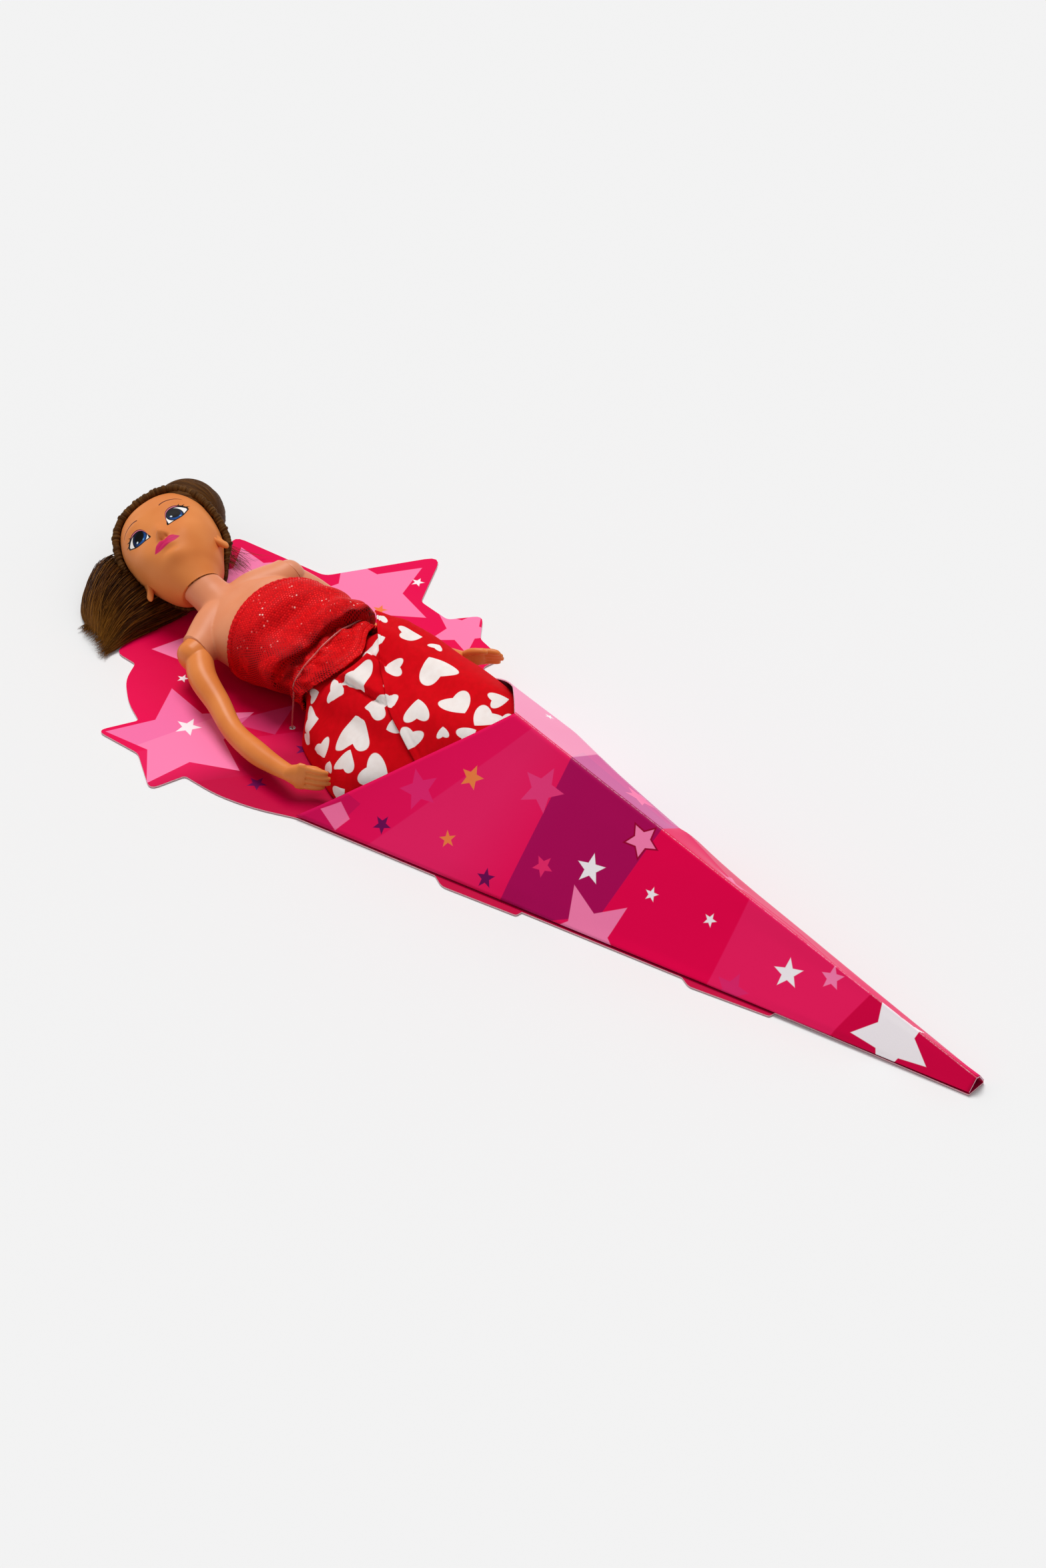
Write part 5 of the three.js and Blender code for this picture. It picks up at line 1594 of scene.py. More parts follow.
@dataclass
class Hair:
    """The crimped roll, the combed cap, the gathered knot and the spread tail."""

    high: float = 23.0
    low: float = -15.0
    slope: float = 27.0
    roll_radius: float = 1.5
    crimp: float = 0.24
    ribs: int = 104
    gap: float = 0.3
    cap_offset: float = 2.1
    cap_thickness: float = 1.2
    knot_centre: Triple = (11.0, 22.4, -4.5)
    knot_radii: Triple = (14.6, 14.8, 15.4)
    tail_middle: float = 36.3
    tail_reach: float = 35.0
    tail_slant: float = 3.0
    tail_stations: Sequence[Sequence[float]] = (
        (13, 20, 6, 1.5), (6, 22.3, 9, 1.2), (-2, 20.8, 12, 0.3), (-10, 18.3, 12.4, -1.0),
        (-17.5, 15.4, 10.5, -2.2), (-23.5, 13.2, 7.4, -3.8), (-27.5, 11.4, 4.4, -5.6), (-30.8, 9, 1.8, -7.8),
    )
    strand_count: int = 1300
    strand_radius: float = 0.13

    def __post_init__(self) -> None:
        """Works out the roll's plane."""
        slope = math.radians(self.slope)
        self.middle = vec(0, (self.high + self.low) / 2, 0)
        self.rise = vec(0, math.cos(slope), math.sin(slope))
        self.back = vec(0, self.rise[2], -self.rise[1])

    def hairline(self, angle: np.ndarray, clearance: np.ndarray) -> np.ndarray:
        """Points of the loop on which the roll lies, off the head by a clearance.

        Args:
            angle: Where round the loop.
            clearance: How far the points lie off the head's skin.

        Returns:
            The points in the head's frame.
        """
        out = np.cos(angle)[:, None] * vec(1, 0, 0) + np.sin(angle)[:, None] * self.rise
        low, high = np.zeros(len(angle)), np.full(len(angle), 40.0)
        reach = halved(low, high, 30, lambda far: HEAD.level(self.middle + out * far[:, None]) < 1)
        skin = self.middle + out * reach[:, None]
        steps = np.eye(3) * 0.2
        slopes = np.stack([HEAD.level(skin + step) - HEAD.level(skin - step) for step in steps], axis=1)
        normal = unit(slopes)
        within = normal - (normal @ self.back)[:, None] * self.back
        length = np.linalg.norm(within, axis=1, keepdims=True)
        return skin + within / length * (clearance / length)

    def roll(self) -> Thing:
        """The crimped roll along the hairline."""
        fine, sides = 14, 28
        steps = self.ribs * fine
        spot = circle(steps)
        slim = mix(0.45, 1.0, smoothstep(-0.9, -0.45, np.sin(spot)))
        centre = self.hairline(spot, (self.roll_radius * slim + self.gap)[:, None])
        along = unit(np.roll(centre, -1, axis=0) - np.roll(centre, 1, axis=0))
        normal = np.cross(along, self.back)
        rib = np.arange(steps) / fine
        phase = rib % 1.0
        swell = (1 - np.abs(2 * phase - 1) ** 2.6) ** 0.7
        uneven = 0.2 * np.sin(np.floor(rib) * 2.4) + 0.14 * np.sin(np.floor(rib) * 5.1 + 1)
        turn = circle(sides)
        radius = (self.roll_radius + self.crimp * (swell - 0.62) + uneven * swell) * slim
        lean = 0.5 * np.sin(turn - 0.6)
        shifted = np.empty((steps, sides, 3))
        for n, angle in enumerate(turn):
            pick = (np.arange(steps) + lean[n] * fine * 0.5) % steps
            first = np.floor(pick).astype(int)
            share = (pick - first)[:, None]
            r = mix(radius[first], radius[(first + 1) % steps], share[:, 0])
            shifted[:, n] = centre + (np.cos(angle) * self.back + np.sin(angle) * normal) * r[:, None]
        points = np.concatenate([shifted, shifted[:1]])
        u = np.concatenate([np.cumsum(np.full(steps, 2.0 / fine)), [2.0 / fine * (steps + 1)]])
        v = np.arange(sides + 1) / sides * 10.7
        flat = np.stack(np.meshgrid(u, v, indexing="ij"), axis=-1)
        piece = Sheet(HEAD.world(points), flat, closed=True).build("crimped_roll")
        finish = Strands("crimped_hair", rgb(40, 20, 6), rgb(88, 54, 20), rgb(140, 98, 46),
                         across=4.0, along=0.05, strength=0.8, depth=0.0003)
        dress(piece, finish.shader())
        return give(piece, Part.HEAD.value, "hair", "hair_roll")

    def cap(self) -> Thing:
        """The hair combed over the back of the head towards the knot."""
        low, crown = -HEAD.neck_drop + 1, HEAD.crown
        share = 1 - np.linspace(0, 1, 90)
        heights = mix(crown, low, share**1.4)
        ring = HEAD.ring(heights, 220, self.cap_offset)
        ring[..., 1] += (self.cap_offset * np.maximum(0, (ring[..., 1] - 6) / (crown - 6)) ** 1.5)
        to_knot = unit(np.array(self.knot_centre) - vec(0, 4, 0))
        first = unit(np.cross(to_knot, vec(0, 0, -1)))
        second = np.cross(to_knot, first)
        offset = ring - vec(0, 4, 0)
        around = np.arctan2(offset @ second, offset @ first)
        polar = np.arccos(np.clip(unit(offset) @ to_knot, -1, 1))
        lock = 0.22 * np.sin(around * 17 + polar * 1.5) + 0.12 * np.sin(around * 41)
        ring += unit(offset) * (lock * smoothstep(0.1, 0.7, polar))[..., None]
        flat = np.stack([around * 14, polar * 18], axis=-1)
        flat = np.concatenate([flat, flat[:, :1]], axis=1)
        piece = Sheet(HEAD.world(ring), flat, closed=True).build("combed_cap")
        face_out(piece)
        edge = self.middle + self.back * (self.roll_radius * 0.6)
        cut(piece, HEAD.world(edge), -(self.back @ HEAD.axes), fill=False)
        cut(piece, BODY.neck + BODY.neck_axis * 0.8, -BODY.neck_axis, fill=False)
        thicken(piece, self.cap_thickness)
        dress(piece, Strands("combed_hair").shader())
        return give(piece, Part.HEAD.value, "hair", "hair_cap")

    def knot(self) -> Thing:
        """The gathered knot high on the back of the head, its strands combed over it."""
        axis = unit(vec(0.72, -0.69, 0.05))
        first = unit(np.cross(axis, vec(0, 0, 1)))
        second = np.cross(axis, first)
        theta = np.linspace(0.02, math.pi - 0.02, 120)[:, None]
        sides = 260
        turn = circle(sides)[None, :]
        swirl = turn + 0.5 * np.cos(theta)
        groove = 1 + (0.016 * np.cos(swirl * 13 + 0.6) + 0.009 * np.cos(swirl * 29 + theta * 2)
                      + 0.006 * np.cos(swirl * 61)) * np.sin(theta) ** 0.6
        a, b, c = self.knot_radii
        local = (first * (np.sin(theta) * np.cos(turn) * a * groove)[..., None]
                 + second * (np.sin(theta) * np.sin(turn) * b * groove)[..., None]
                 + axis * (np.cos(theta) * c + 0 * turn)[..., None])
        points = HEAD.world(local + np.array(self.knot_centre))
        u = np.arange(sides + 1) / sides * TAU * 14
        flat = np.stack(np.broadcast_arrays(u[None, :], theta * 15.0), axis=-1)
        piece = Sheet(points, flat, closed=True, capped=True).build("combed_knot")
        face_out(piece)
        finish = Strands("knot_hair", rgb(36, 17, 4), rgb(82, 48, 15), rgb(136, 90, 36),
                         across=3.4, along=0.05, strength=0.9, depth=0.0003)
        dress(piece, finish.shader())
        return give(piece, Part.HEAD.value, "hair", "hair_knot")

    def tail_outline(self, share: np.ndarray, angle: np.ndarray, depth: np.ndarray) -> np.ndarray:
        """Points in the tail.

        Args:
            share: How far from the root to the ends.
            angle: Where round the tail, from its lower end over the top.
            depth: 1 on its surface and less inside.

        Returns:
            Points in the row frame.
        """
        x, wide, tall, shift = (spline(np.array(self.tail_stations)[:, n], share) for n in range(4))
        across, up = rounded_square(angle, wide * depth, tall * depth, 0.01, 2.2)
        x = x - self.tail_slant * share**2 * across / wide
        middle = BODY.neck[1] + self.tail_middle
        return np.stack([x, middle + shift - across, 0.95 + np.maximum(0.12, up)], axis=-1)

    def tail(self) -> Thing:
        """The tail's inner mass and the strands that lie over it."""
        sides, rows = 120, 70
        share = np.broadcast_to(np.linspace(0, 0.86, rows)[:, None], (rows, sides))
        angle = np.broadcast_to(circle(sides), (rows, sides))
        lock = 0.93 + 0.03 * np.sin(angle * 9 + share * 2) + 0.02 * np.sin(angle * 23 + 1 + share * 4)
        points = self.tail_outline(share.ravel(), angle.ravel(), lock.ravel())
        u = np.arange(sides + 1) / sides * 95
        flat = np.stack(np.broadcast_arrays(u[None, :], np.linspace(0, 38, rows)[:, None]), axis=-1)
        mass = Sheet(points.reshape(rows, sides, 3), flat, closed=True, capped=True).build("tail_mass")
        face_out(mass)
        finish = Strands("tail_hair", rgb(24, 6, 1), rgb(64, 32, 8), rgb(118, 74, 22),
                         along=0.05, strength=0.9, depth=0.0003)
        dress(mass, finish.shader())
        trail(mass, "hair", "ponytail")
        return self.strands()

    def strands(self) -> Thing:
        """Loose strands over the tail, with uneven ends."""
        random = np.random.default_rng(7)
        count, steps = self.strand_count, 16
        start = random.uniform(0.1, 0.5, count)
        end = np.clip(random.normal(0.98, 0.07, count), 0.78, 1.12)
        angle = random.uniform(-0.02, 0.99, count) * math.pi
        drift = random.normal(0, 0.16, count)
        depth = random.uniform(0.9, 1.1, count)
        t = np.linspace(0, 1, steps)
        share = start[:, None] + (end - start)[:, None] * t
        turn = angle[:, None] + drift[:, None] * t**1.5
        rough = depth[:, None] + 0.03 * np.sin(share * 9 + random.uniform(0, TAU, count)[:, None])
        centre = self.tail_outline(np.minimum(share, 1.0).ravel(), np.clip(turn, 0.02, math.pi - 0.02).ravel(),
                                   rough.ravel()).reshape(count, steps, 3)
        beyond = np.maximum(share - 1.0, 0) * self.tail_reach
        centre[..., 0] -= beyond
        centre[..., 1] += beyond * random.normal(0, 0.25, count)[:, None]
        centre[..., 2] = np.maximum(centre[..., 2], 0.85)
        return trail(self.bundle("tail_strands", centre, random, self.strand_radius), "hair")

    def strays(self) -> Thing:
        """The few hairs that lie over the card beside the neck."""
        random = np.random.default_rng(11)
        count, steps = 60, 14
        t = np.linspace(0, 1, steps)[None, :, None]
        start = vec(37.5, 116.0, 7.0) + random.normal(0, 1, (count, 1, 3)) * vec(1.6, 1.6, 1.0)
        end = vec(39.5, 100.0, 1.5) + random.normal(0, 1, (count, 1, 3)) * vec(3.6, 3.2, 0.2)
        bow = random.normal(0, 1, (count, 1, 3)) * vec(1.2, 0.8, 0.4)
        centre = mix(start, end, t) + bow * np.sin(t * math.pi)
        centre[..., 2] = np.maximum(centre[..., 2], 0.9)
        return give(self.bundle("stray_hairs", centre, random, 0.07), Part.TORSO.value, "hair")

    def bundle(self, name: str, centre: np.ndarray, random: np.random.Generator, radius: float) -> Thing:
        """Makes thin three-sided strands round their lines.

        Args:
            name: The piece's name.
            centre: The lines, as strand by step by coordinate.
            random: Where the tones come from.
            radius: A strand's radius.

        Returns:
            The piece.
        """
        count, steps = centre.shape[:2]
        along = unit(np.gradient(centre, axis=1))
        across = unit(np.cross(along, vec(0.1, 0.2, 1)))
        upward = np.cross(across, along)
        taper = np.interp(np.linspace(0, 1, steps), [0, 0.8, 1], [1, 1, 0.35])
        points = centre[:, :, None] + wheel(across, upward, circle(3)) * (radius * taper)[None, :, None, None]
        base = (np.arange(count) * steps * 3)[:, None, None] + (np.arange(steps - 1) * 3)[None, :, None]
        corner, after = np.arange(3)[None, None, :], (np.arange(3)[None, None, :] + 1) % 3
        quads = np.stack([base + corner, base + after, base + after + 3, base + corner + 3], axis=-1)
        mesh = bpy.data.meshes.new(name)
        mesh.from_pydata((points.reshape(-1, 3) * MM).tolist(), [], quads.reshape(-1, 4).tolist())
        tone = np.repeat(random.beta(2, 2.6, count), (steps - 1) * 3 * 4)
        step = np.tile(np.repeat(np.arange(steps - 1), 3), count)[:, None] + np.array([0, 0, 1, 1])[None, :]
        layer = mesh.uv_layers.new(name="flat")
        layer.data.foreach_set("uv", np.stack([tone, step.reshape(-1) / (steps - 1)], axis=-1).reshape(-1))
        shade_smooth(mesh)
        piece = placed(name, mesh)
        shade = (rgb(26, 7, 1), rgb(84, 44, 9), rgb(160, 104, 32))
        dress(piece, LooseStrands("loose_hair", *shade).shader())
        return piece

    def build(self) -> None:
        """Makes all the hair."""
        self.roll()
        self.cap()
        self.knot()
        self.tail()
        self.strays()


# Clothes.


@dataclass(frozen=True)
class GlitterKnit:
    """Red knit with rows of foil dots, with painted glints on a few dots and painted shade on the lower flank and
    in the valley under the fold.
    """

    pitch: float = 1.12
    dot: float = 0.36
    cloth: Colour = rgb(234, 0, 12)
    foil: Colour = rgb(250, 14, 18)
    # Painted glint on a few foil dots.
    spark: Colour = rgb(255, 196, 186)
    foil_dark: Colour = rgb(186, 0, 6)
    cloth_dark: Colour = rgb(196, 0, 6)
    # Painted shade: the cloth's colour in the valley under the fold, and the foil's colour on the lower flank and
    # in the valley.
    crease: Colour = rgb(120, 0, 6)
    shaded_foil: Colour = rgb(58, 0, 6)

    def shader(self) -> Shader:
        """The finish as a material."""
        s = Shader("glitter_knit")
        u, v, _ = s.split(s.flat())
        rows = self.pitch * math.sqrt(3)
        near, pick = None, None
        for shift in (0.0, 0.5):
            across, along = u / self.pitch + shift, v / rows + shift
            cell_u, cell_v = s.math("FLOOR", across), s.math("FLOOR", along)
            dx, dy = (across - cell_u - 0.5) * self.pitch, (along - cell_v - 0.5) * rows
            off = s.reach(dx, dy)
            inputs = {"Vector": s.merge(cell_u, cell_v, shift * 10 + 1)}
            chance = s.out(s.node("ShaderNodeTexWhiteNoise", {"noise_dimensions": "3D"}, inputs))
            if near is None:
                near, pick = off, chance
            else:
                first = s.math("LESS_THAN", near, off)
                pick = pick * first + chance * (1.0 - first)
                near = near & off
        dots = s.fall(near, self.dot, 0.14)
        px, py, _ = s.ruler()
        cloud = s.noise(s.merge(u, v, 0.0), 0.11, 3.0)
        # Painted shade on the lower flank and along the valley under the fold, where the cloth turns from the
        # light.
        flank = s.fall(px + py * 0.3, -3.0, 12.0)
        valley = s.fall(abs(py + px * 0.21 - 18.6), 2.4, 3.0)
        shaded_dots = (flank | valley) * s.step(cloud, 0.44, 0.12)
        lit = s.step(cloud, 0.54, 0.1) * (1.0 - shaded_dots)
        foil = s.blend(s.step(pick, 0.4, 0.6), self.foil_dark, self.foil)
        foil = s.blend(shaded_dots * 0.9, foil, self.shaded_foil)
        # Painted glints: a few dots turn pale in noise-chosen patches, away from the painted shade.
        foil = s.blend(s.step(pick, 0.955, 0.03) * lit, foil, self.spark)
        knit = s.noise(s.merge(u * 5.0, v * 2.4, 0.0), 1.0, 2.0)
        base = s.blend(s.step(knit, 0.5, 0.6), self.cloth_dark, self.cloth)
        # Painted shade: the cloth darkens along the valley under the fold.
        base = s.blend(valley * 0.45, base, self.crease)
        colour = s.blend(dots, base, foil)
        shine = s.math("MULTIPLY_ADD", dots, -0.3, 0.72)
        s.set(base_color=colour, metallic=dots * 0.1, roughness=shine, specular_ior_level=0.12)
        height = dots * 0.5 + knit * 0.25 + pick * dots * 0.7
        return s.relief(height, 0.5, 0.0003)


@dataclass(frozen=True)
class Heart:
    """One printed heart: its place in the picture, its width in millimetres and its tip's angle there."""

    across: float
    down: float
    width: float
    tip: float

    def on(self, sheet: Sheet) -> tuple[float, ...]:
        """The heart's flat place and the flat directions in which it lies undistorted.

        Args:
            sheet: The sheet with its flat places.

        Returns:
            The two flat numbers, then what a flat step adds across and along the heart, and half its width.
        """
        points = sheet.points
        flat = sheet.flat[:, :points.shape[1]]
        px, py, far = STUDIO.picture(points)
        off = np.hypot(px - self.across, py - self.down)
        reach = max(4.0, float(off.min()) + 1.0)
        score = np.where(off < reach, far * 4 + off, 1e9)
        row, column = np.unravel_index(np.argmin(score), score.shape)
        near = np.linalg.norm(points - points[row, column], axis=-1) < max(self.width * 0.45, 2.5)
        spots = np.concatenate([flat[near], np.ones((int(near.sum()), 1))], axis=1)
        side, down, _ = np.linalg.lstsq(spots, points[near], rcond=None)[0]
        right = unit(np.array(STUDIO.right))
        upward = np.cross(right, unit(np.array(STUDIO.ahead)))
        angle = math.radians(self.tip)
        shown = np.array([[side @ right, down @ right], [side @ upward, down @ upward]])
        a, b = np.linalg.solve(shown, [math.cos(angle), math.sin(angle)])
        along = unit(a * side + b * down)
        across = unit(np.cross(np.cross(side, down), along))
        half = self.width / 2
        u, v = flat[row, column]
        steps = (across @ side, across @ down, -along @ side, -along @ down)
        return (float(u), float(v), *(float(step) / half for step in steps), half)


@dataclass(frozen=True)
class HeartCotton:
    """Fine red cotton with white hearts of many sizes and turns."""

    name: str
    marks: tuple[tuple[float, ...], ...]
    red: Colour = rgb(228, 0, 20)
    white: Colour = rgb(255, 247, 243)
    red_dark: Colour = rgb(206, 0, 12)
    white_dark: Colour = rgb(246, 232, 226)
    cell: float = 13.5
    thread_pitch: float = 0.34

    def heart(self, s: Shader, x: Link, y: Link, soft: float) -> Link:
        """The mask of a heart of half width one about the origin, its tip down."""
        lobe = y * 1.3 - abs(x) * 0.85
        return s.fall(s.reach(x, lobe), 1.0, soft)

    def shader(self) -> Shader:
        """The finish as a material."""
        s = Shader(self.name)
        flat = s.flat()
        u, v, _ = s.split(flat)
        printed = None
        low = np.array([min(m[n] - m[6] for m in self.marks) for n in (0, 1)])
        high = np.array([max(m[n] + m[6] for m in self.marks) for n in (0, 1)])
        for centre_u, centre_v, across_u, across_v, along_u, along_v, half in self.marks:
            spot = s.arrange("SUBTRACT", flat, (centre_u, centre_v, 0.0))
            across = s.arrange("DOT_PRODUCT", spot, (across_u, across_v, 0.0), place=1)
            along = s.arrange("DOT_PRODUCT", spot, (along_u, along_v, 0.0), place=1)
            mark = self.heart(s, across, along + 0.14, 0.3 / half)
            printed = mark if printed is None else printed | mark
        low, high = np.floor(low / self.cell) * self.cell, np.ceil(high / self.cell) * self.cell
        inside = s.step(u, float(low[0]), 0.01) & s.step(float(high[0]) - u, 0.0, 0.01)
        inside = inside & s.step(v, float(low[1]), 0.01) & s.step(float(high[1]) - v, 0.0, 0.01)
        cell_u, cell_v = s.math("FLOOR", u / self.cell), s.math("FLOOR", v / self.cell)
        inputs = {"Vector": s.merge(cell_u, cell_v, 0.0)}
        chance = s.node("ShaderNodeTexWhiteNoise", {"noise_dimensions": "2D"}, inputs)
        angle, size = s.out(chance, 0) * TAU, s.out(chance, 0) * 2.6 + 2.9
        dx = (u / self.cell - cell_u - 0.5) * self.cell / size
        dy = (v / self.cell - cell_v - 0.5) * self.cell / size
        c, d = s.math("COSINE", angle), s.math("SINE", angle)
        plain = self.heart(s, dx * c - dy * d, dx * d + dy * c, 0.08)
        printed = printed * inside + plain * (1.0 - inside)
        wave = TAU / self.thread_pitch
        weave = s.math("SINE", u * wave) * s.math("SINE", v * wave)
        uneven = s.noise(s.merge(u, v, 0.0), 0.35, 4.0)
        red = s.blend(s.step(uneven, 0.5, 0.7), self.red_dark, self.red)
        white = s.blend(s.step(uneven, 0.5, 0.7), self.white_dark, self.white)
        s.set(base_color=s.blend(printed, red, white), roughness=0.85, specular_ior_level=0.08)
        return s.relief(weave * 0.5 + uneven * 1.6, 0.35, 0.00018)


@dataclass
class Top:
    """The strapless glitter top, bunched over the thread."""

    upper: float = 53.5
    drop_right: float = 6.0
    drop_left: float = 13.0
    lower: float = -1.4
    clearance: float = 0.6
    thickness: float = 0.7
    looseness: float = 8.4
    waist: float = 16.0
    tie_y: float = 15.0
    pouch: float = 3.7
    band: float = 1.7
    gathers: tuple[float, float] = (0.55, 0.4)
    pull: float = 0.5
    hem_fold: float = 0.3
    hem_seam: float = 0.28
    finish: GlitterKnit = GlitterKnit()

    def upper_edge(self, angle: np.ndarray) -> np.ndarray:
        """Where the upper hem runs."""
        c, s = np.cos(angle), np.sin(angle)
        drop = np.where(c < 0, self.drop_right, self.drop_left)
        return self.upper - drop * np.abs(c) ** 1.8 - 8 * np.maximum(0, -s)

    def lower_edge(self, angle: np.ndarray) -> np.ndarray:
        """Where the lower hem runs, lowest in front."""
        front = np.maximum(0, np.sin(angle)) ** 2
        return mix(self.waist - 5, self.lower, front) + 5.5 * smoothstep(0.0, 0.55, np.cos(angle)) * front

    def surface(self, y: np.ndarray, angle: np.ndarray, above: float = 0.0) -> np.ndarray:
        """The outer face of the cloth, with its pouch over the thread, its gathers and its hems.

        Args:
            y: The heights.
            angle: Where round the chest, from the doll's left over the front.
            above: How far off the face.

        Returns:
            The points.
        """
        c, s = np.cos(angle), np.sin(angle)
        front = smoothstep(-0.2, 0.5, s)
        wide = smoothstep(-0.75, 0.0, s)
        under = mix(self.clearance, 2.1, smoothstep(self.waist + 3, self.waist + 0.5, y))
        lip = y - (19.6 - 4.6 * c + 0.7 * np.sin(angle * 5 + 1))
        pouch = self.pouch * np.exp(-((lip - 3.0) / 5.2) ** 2) * smoothstep(-0.9, 0.5, lip)
        valley = bump(np.minimum(lip + 1.5, 0), 4.5) * smoothstep(0.4, -0.9, lip) * front
        edge = y - self.lower_edge(angle)
        band = self.band * bump(edge - 4.2, 3.6) * smoothstep(0.5, -1.5, lip)
        left = smoothstep(-0.3, 0.8, c) * smoothstep(-0.35, 0.35, s)
        right = smoothstep(-0.3, -0.9, c) * smoothstep(-0.5, 0.1, s)
        slack = self.looseness * (left + 0.35 * right) * np.exp(-(((y - 26) / 15) ** 2)) * (1 - 0.8 * valley)
        gather = self.gathers[0] * np.sin(angle * 13 + y * 0.32 + np.sin(y * 0.4)) * bump(y - self.tie_y, 10) * wide
        gather += self.gathers[1] * np.sin(angle * 23 - y * 0.5) * bump(y - self.tie_y + 3, 7) * wide
        pull = self.pull * np.sin((y + 9 * c) * 0.52) * smoothstep(48, 30, y) * smoothstep(18, 26, y) * front
        hem = self.upper_edge(angle) - y
        fold = self.hem_fold * smoothstep(2.4, 1.9, hem) + 0.12 * np.sin(angle * 61) * smoothstep(3.2, 0.5, hem)
        stitch = -self.hem_seam * bump(hem - 2.2, 0.28)
        low_fold = 0.22 * smoothstep(1.9, 1.4, edge) - 0.2 * bump(edge - 1.7, 0.25)
        ragged = 0.18 * np.sin(angle * 47 + 2) * smoothstep(2.0, 0.0, edge)
        lift = under + self.thickness + (pouch + band + 0.35) * front + slack + gather + pull + above
        hang = (1.3 * bump(lip + 1.4, 1.1) - 1.5 * bump(lip - 0.5, 1.3)) * front * smoothstep(-0.8, -0.4, c)
        return BODY.at(y + hang * (above == 0.0), angle, lift + (fold + stitch + low_fold + ragged) * wide)

    def build(self) -> Thing:
        """Makes the top with its thickness."""
        rows, sides = 170, 360
        angle = np.broadcast_to(circle(sides) - math.pi / 2, (rows, sides))
        share = np.linspace(0, 1, rows)[:, None]
        y = mix(self.lower_edge(angle), self.upper_edge(angle), share)
        sheet = Sheet(self.surface(y, angle), closed=True).arc_flat()
        piece = sheet.build("glitter_top")
        face_out(piece)
        thicken(piece, self.thickness)
        dress(piece, self.finish.shader())
        give(piece, Part.TORSO.value, "sequin_knit", "top")
        sheet.cut_size()
        return piece


@dataclass
class Skirt:
    """The long wrap skirt: a base round the hips and a front panel wrapped over it."""

    waist: float = 16.0
    length: float = 112.0
    flare: float = 41.0
    hem_half: float = 33.0
    thickness: float = 0.5
    floor: float = 1.25
    panel_step: float = 1.1
    flank: float = 5.2
    folds: Sequence[tuple[Sequence[tuple[float, float]], float, float, float]] = (
        (((490, 1004), (520, 1017), (535, 1026), (550, 1036), (566, 1045), (592, 1058)), 2.6, 22, 3),
        (((580, 1006), (562, 990), (546, 979), (524, 966)), 2.2, 16, 3),
        (((452, 1046), (458, 1080), (468, 1108), (484, 1138), (498, 1170)), 1.1, 12, 6),
        (((470, 1030), (500, 1052), (540, 1066), (600, 1098)), 0.9, 20, 14),
        (((500, 1050), (530, 1130), (560, 1190)), 0.7, 18, 14),
        (((590, 925), (600, 975), (625, 1040), (650, 1100)), 0.8, 16, 12),
        (((620, 940), (650, 985), (700, 1060)), 0.7, 14, 14),
    )

    def __post_init__(self) -> None:
        """Works out the outline, the panel's edge and the carton's walls."""
        waist = self.waist
        self.outline = Profile([
            [waist - 4, 23, 24.5, 36],
            [waist - 15, 30.5, 30, 38],
            [-12, self.flare - 4.5, 32, 36.5],
            [-30, self.flare + 2, 32, 35],
            [-57, self.hem_half + 3, self.hem_half, 34.5],
            [waist - self.length, self.hem_half, self.hem_half, 32],
        ])
        self.edge = Profile([[14, 25.0], [4.1, 17.0], [-8.2, 5.6], [-15.6, -1.0], [-23.1, -6.8], [-29.3, -11.5],
                             [-34.2, -14.1], [-39.9, -16.0], [-47.6, -18.6], [-62, -23], [-97, -27]])
        mouth, tip = CONE.rulings(1)
        normal = unit(np.cross(mouth[1:] - mouth[:-1], tip[:-1] - mouth[:-1]))
        inner = np.einsum("ij,ij->i", vec(0, -CONE.length * 0.6, 4) - mouth[:-1], normal) < 0
        self.normals = np.where(inner[:, None], -normal, normal)
        self.anchors = mouth[:-1]
        self.rims = (mouth[1:, 1] + mouth[:-1, 1]) / 2

    def under_cone(self, point: np.ndarray, middle: np.ndarray, room: float) -> np.ndarray:
        """Draws points in towards their middle until they fit under the carton's walls.

        Args:
            point: The points.
            middle: A point in the carton for each of them.
            room: How far they stay off the walls.

        Returns:
            The points, moved where they have to be.
        """
        share = np.ones(point.shape[:-1])
        for normal, anchor, rim in zip(self.normals, self.anchors, self.rims):
            margin = room - 0.45 * np.maximum(0, point[..., 1] - rim - 2)
            inside = (middle - anchor) @ normal - margin
            here = (point - anchor) @ normal - margin
            tight = (here < 0) & (inside > 0)
            share = np.where(tight, np.minimum(share, inside / np.where(tight, inside - here, 1.0)), share)
        return mix(middle, point, share[..., None])

    def surface(self, y: np.ndarray, angle: np.ndarray, above: float = 0.0, tucked: bool = True) -> np.ndarray:
        """The outer face of the cloth at heights and angles, with its folds.

        Args:
            y: The heights.
            angle: Where round the hips, from the doll's left over the front.
            above: How far off the face.
            tucked: Whether the cloth's upper end lies close under the top.

        Returns:
            The points.
        """
        left, right, high = self.outline(y)
        c, s = np.cos(angle), np.sin(angle)
        spread = np.where(c < 0, left, right)
        x = BODY.centre + spread * c
        up = np.maximum(s, 0)
        steep = np.where(c < 0, 1.5, 1.1)
        dome = np.where(s > 0, self.floor + 1 + (high - self.floor - 1) * up ** steep, self.floor)
        roll = np.maximum(0, (dome - 6) / 25) * spread * c * BODY.side[2]
        point = np.stack([x, y, np.maximum(self.floor, dome + roll)], axis=-1)
        hem = Top().lower_edge(angle)
        loose = smoothstep(1.0, -7.5, y - hem) if tucked else np.ones(y.shape)
        point = mix(BODY.at(y, angle, 1.5), point, loose[..., None])
        wave = np.cos(angle * 9 + 0.035 * (self.waist - y)) * 0.8 + self.creases(point)
        wave = wave + self.flank * smoothstep(0.35, 0.78, c) * smoothstep(-66, -32, y)
        outward = unit(np.stack([c, 0 * c, up], axis=-1))
        point = point + outward * ((wave * loose + above) * up)[..., None]
        middle = np.stack([np.full(y.shape, BODY.centre), y, np.full(y.shape, 12.0)], axis=-1)
        return self.under_cone(point, middle, 1.5)

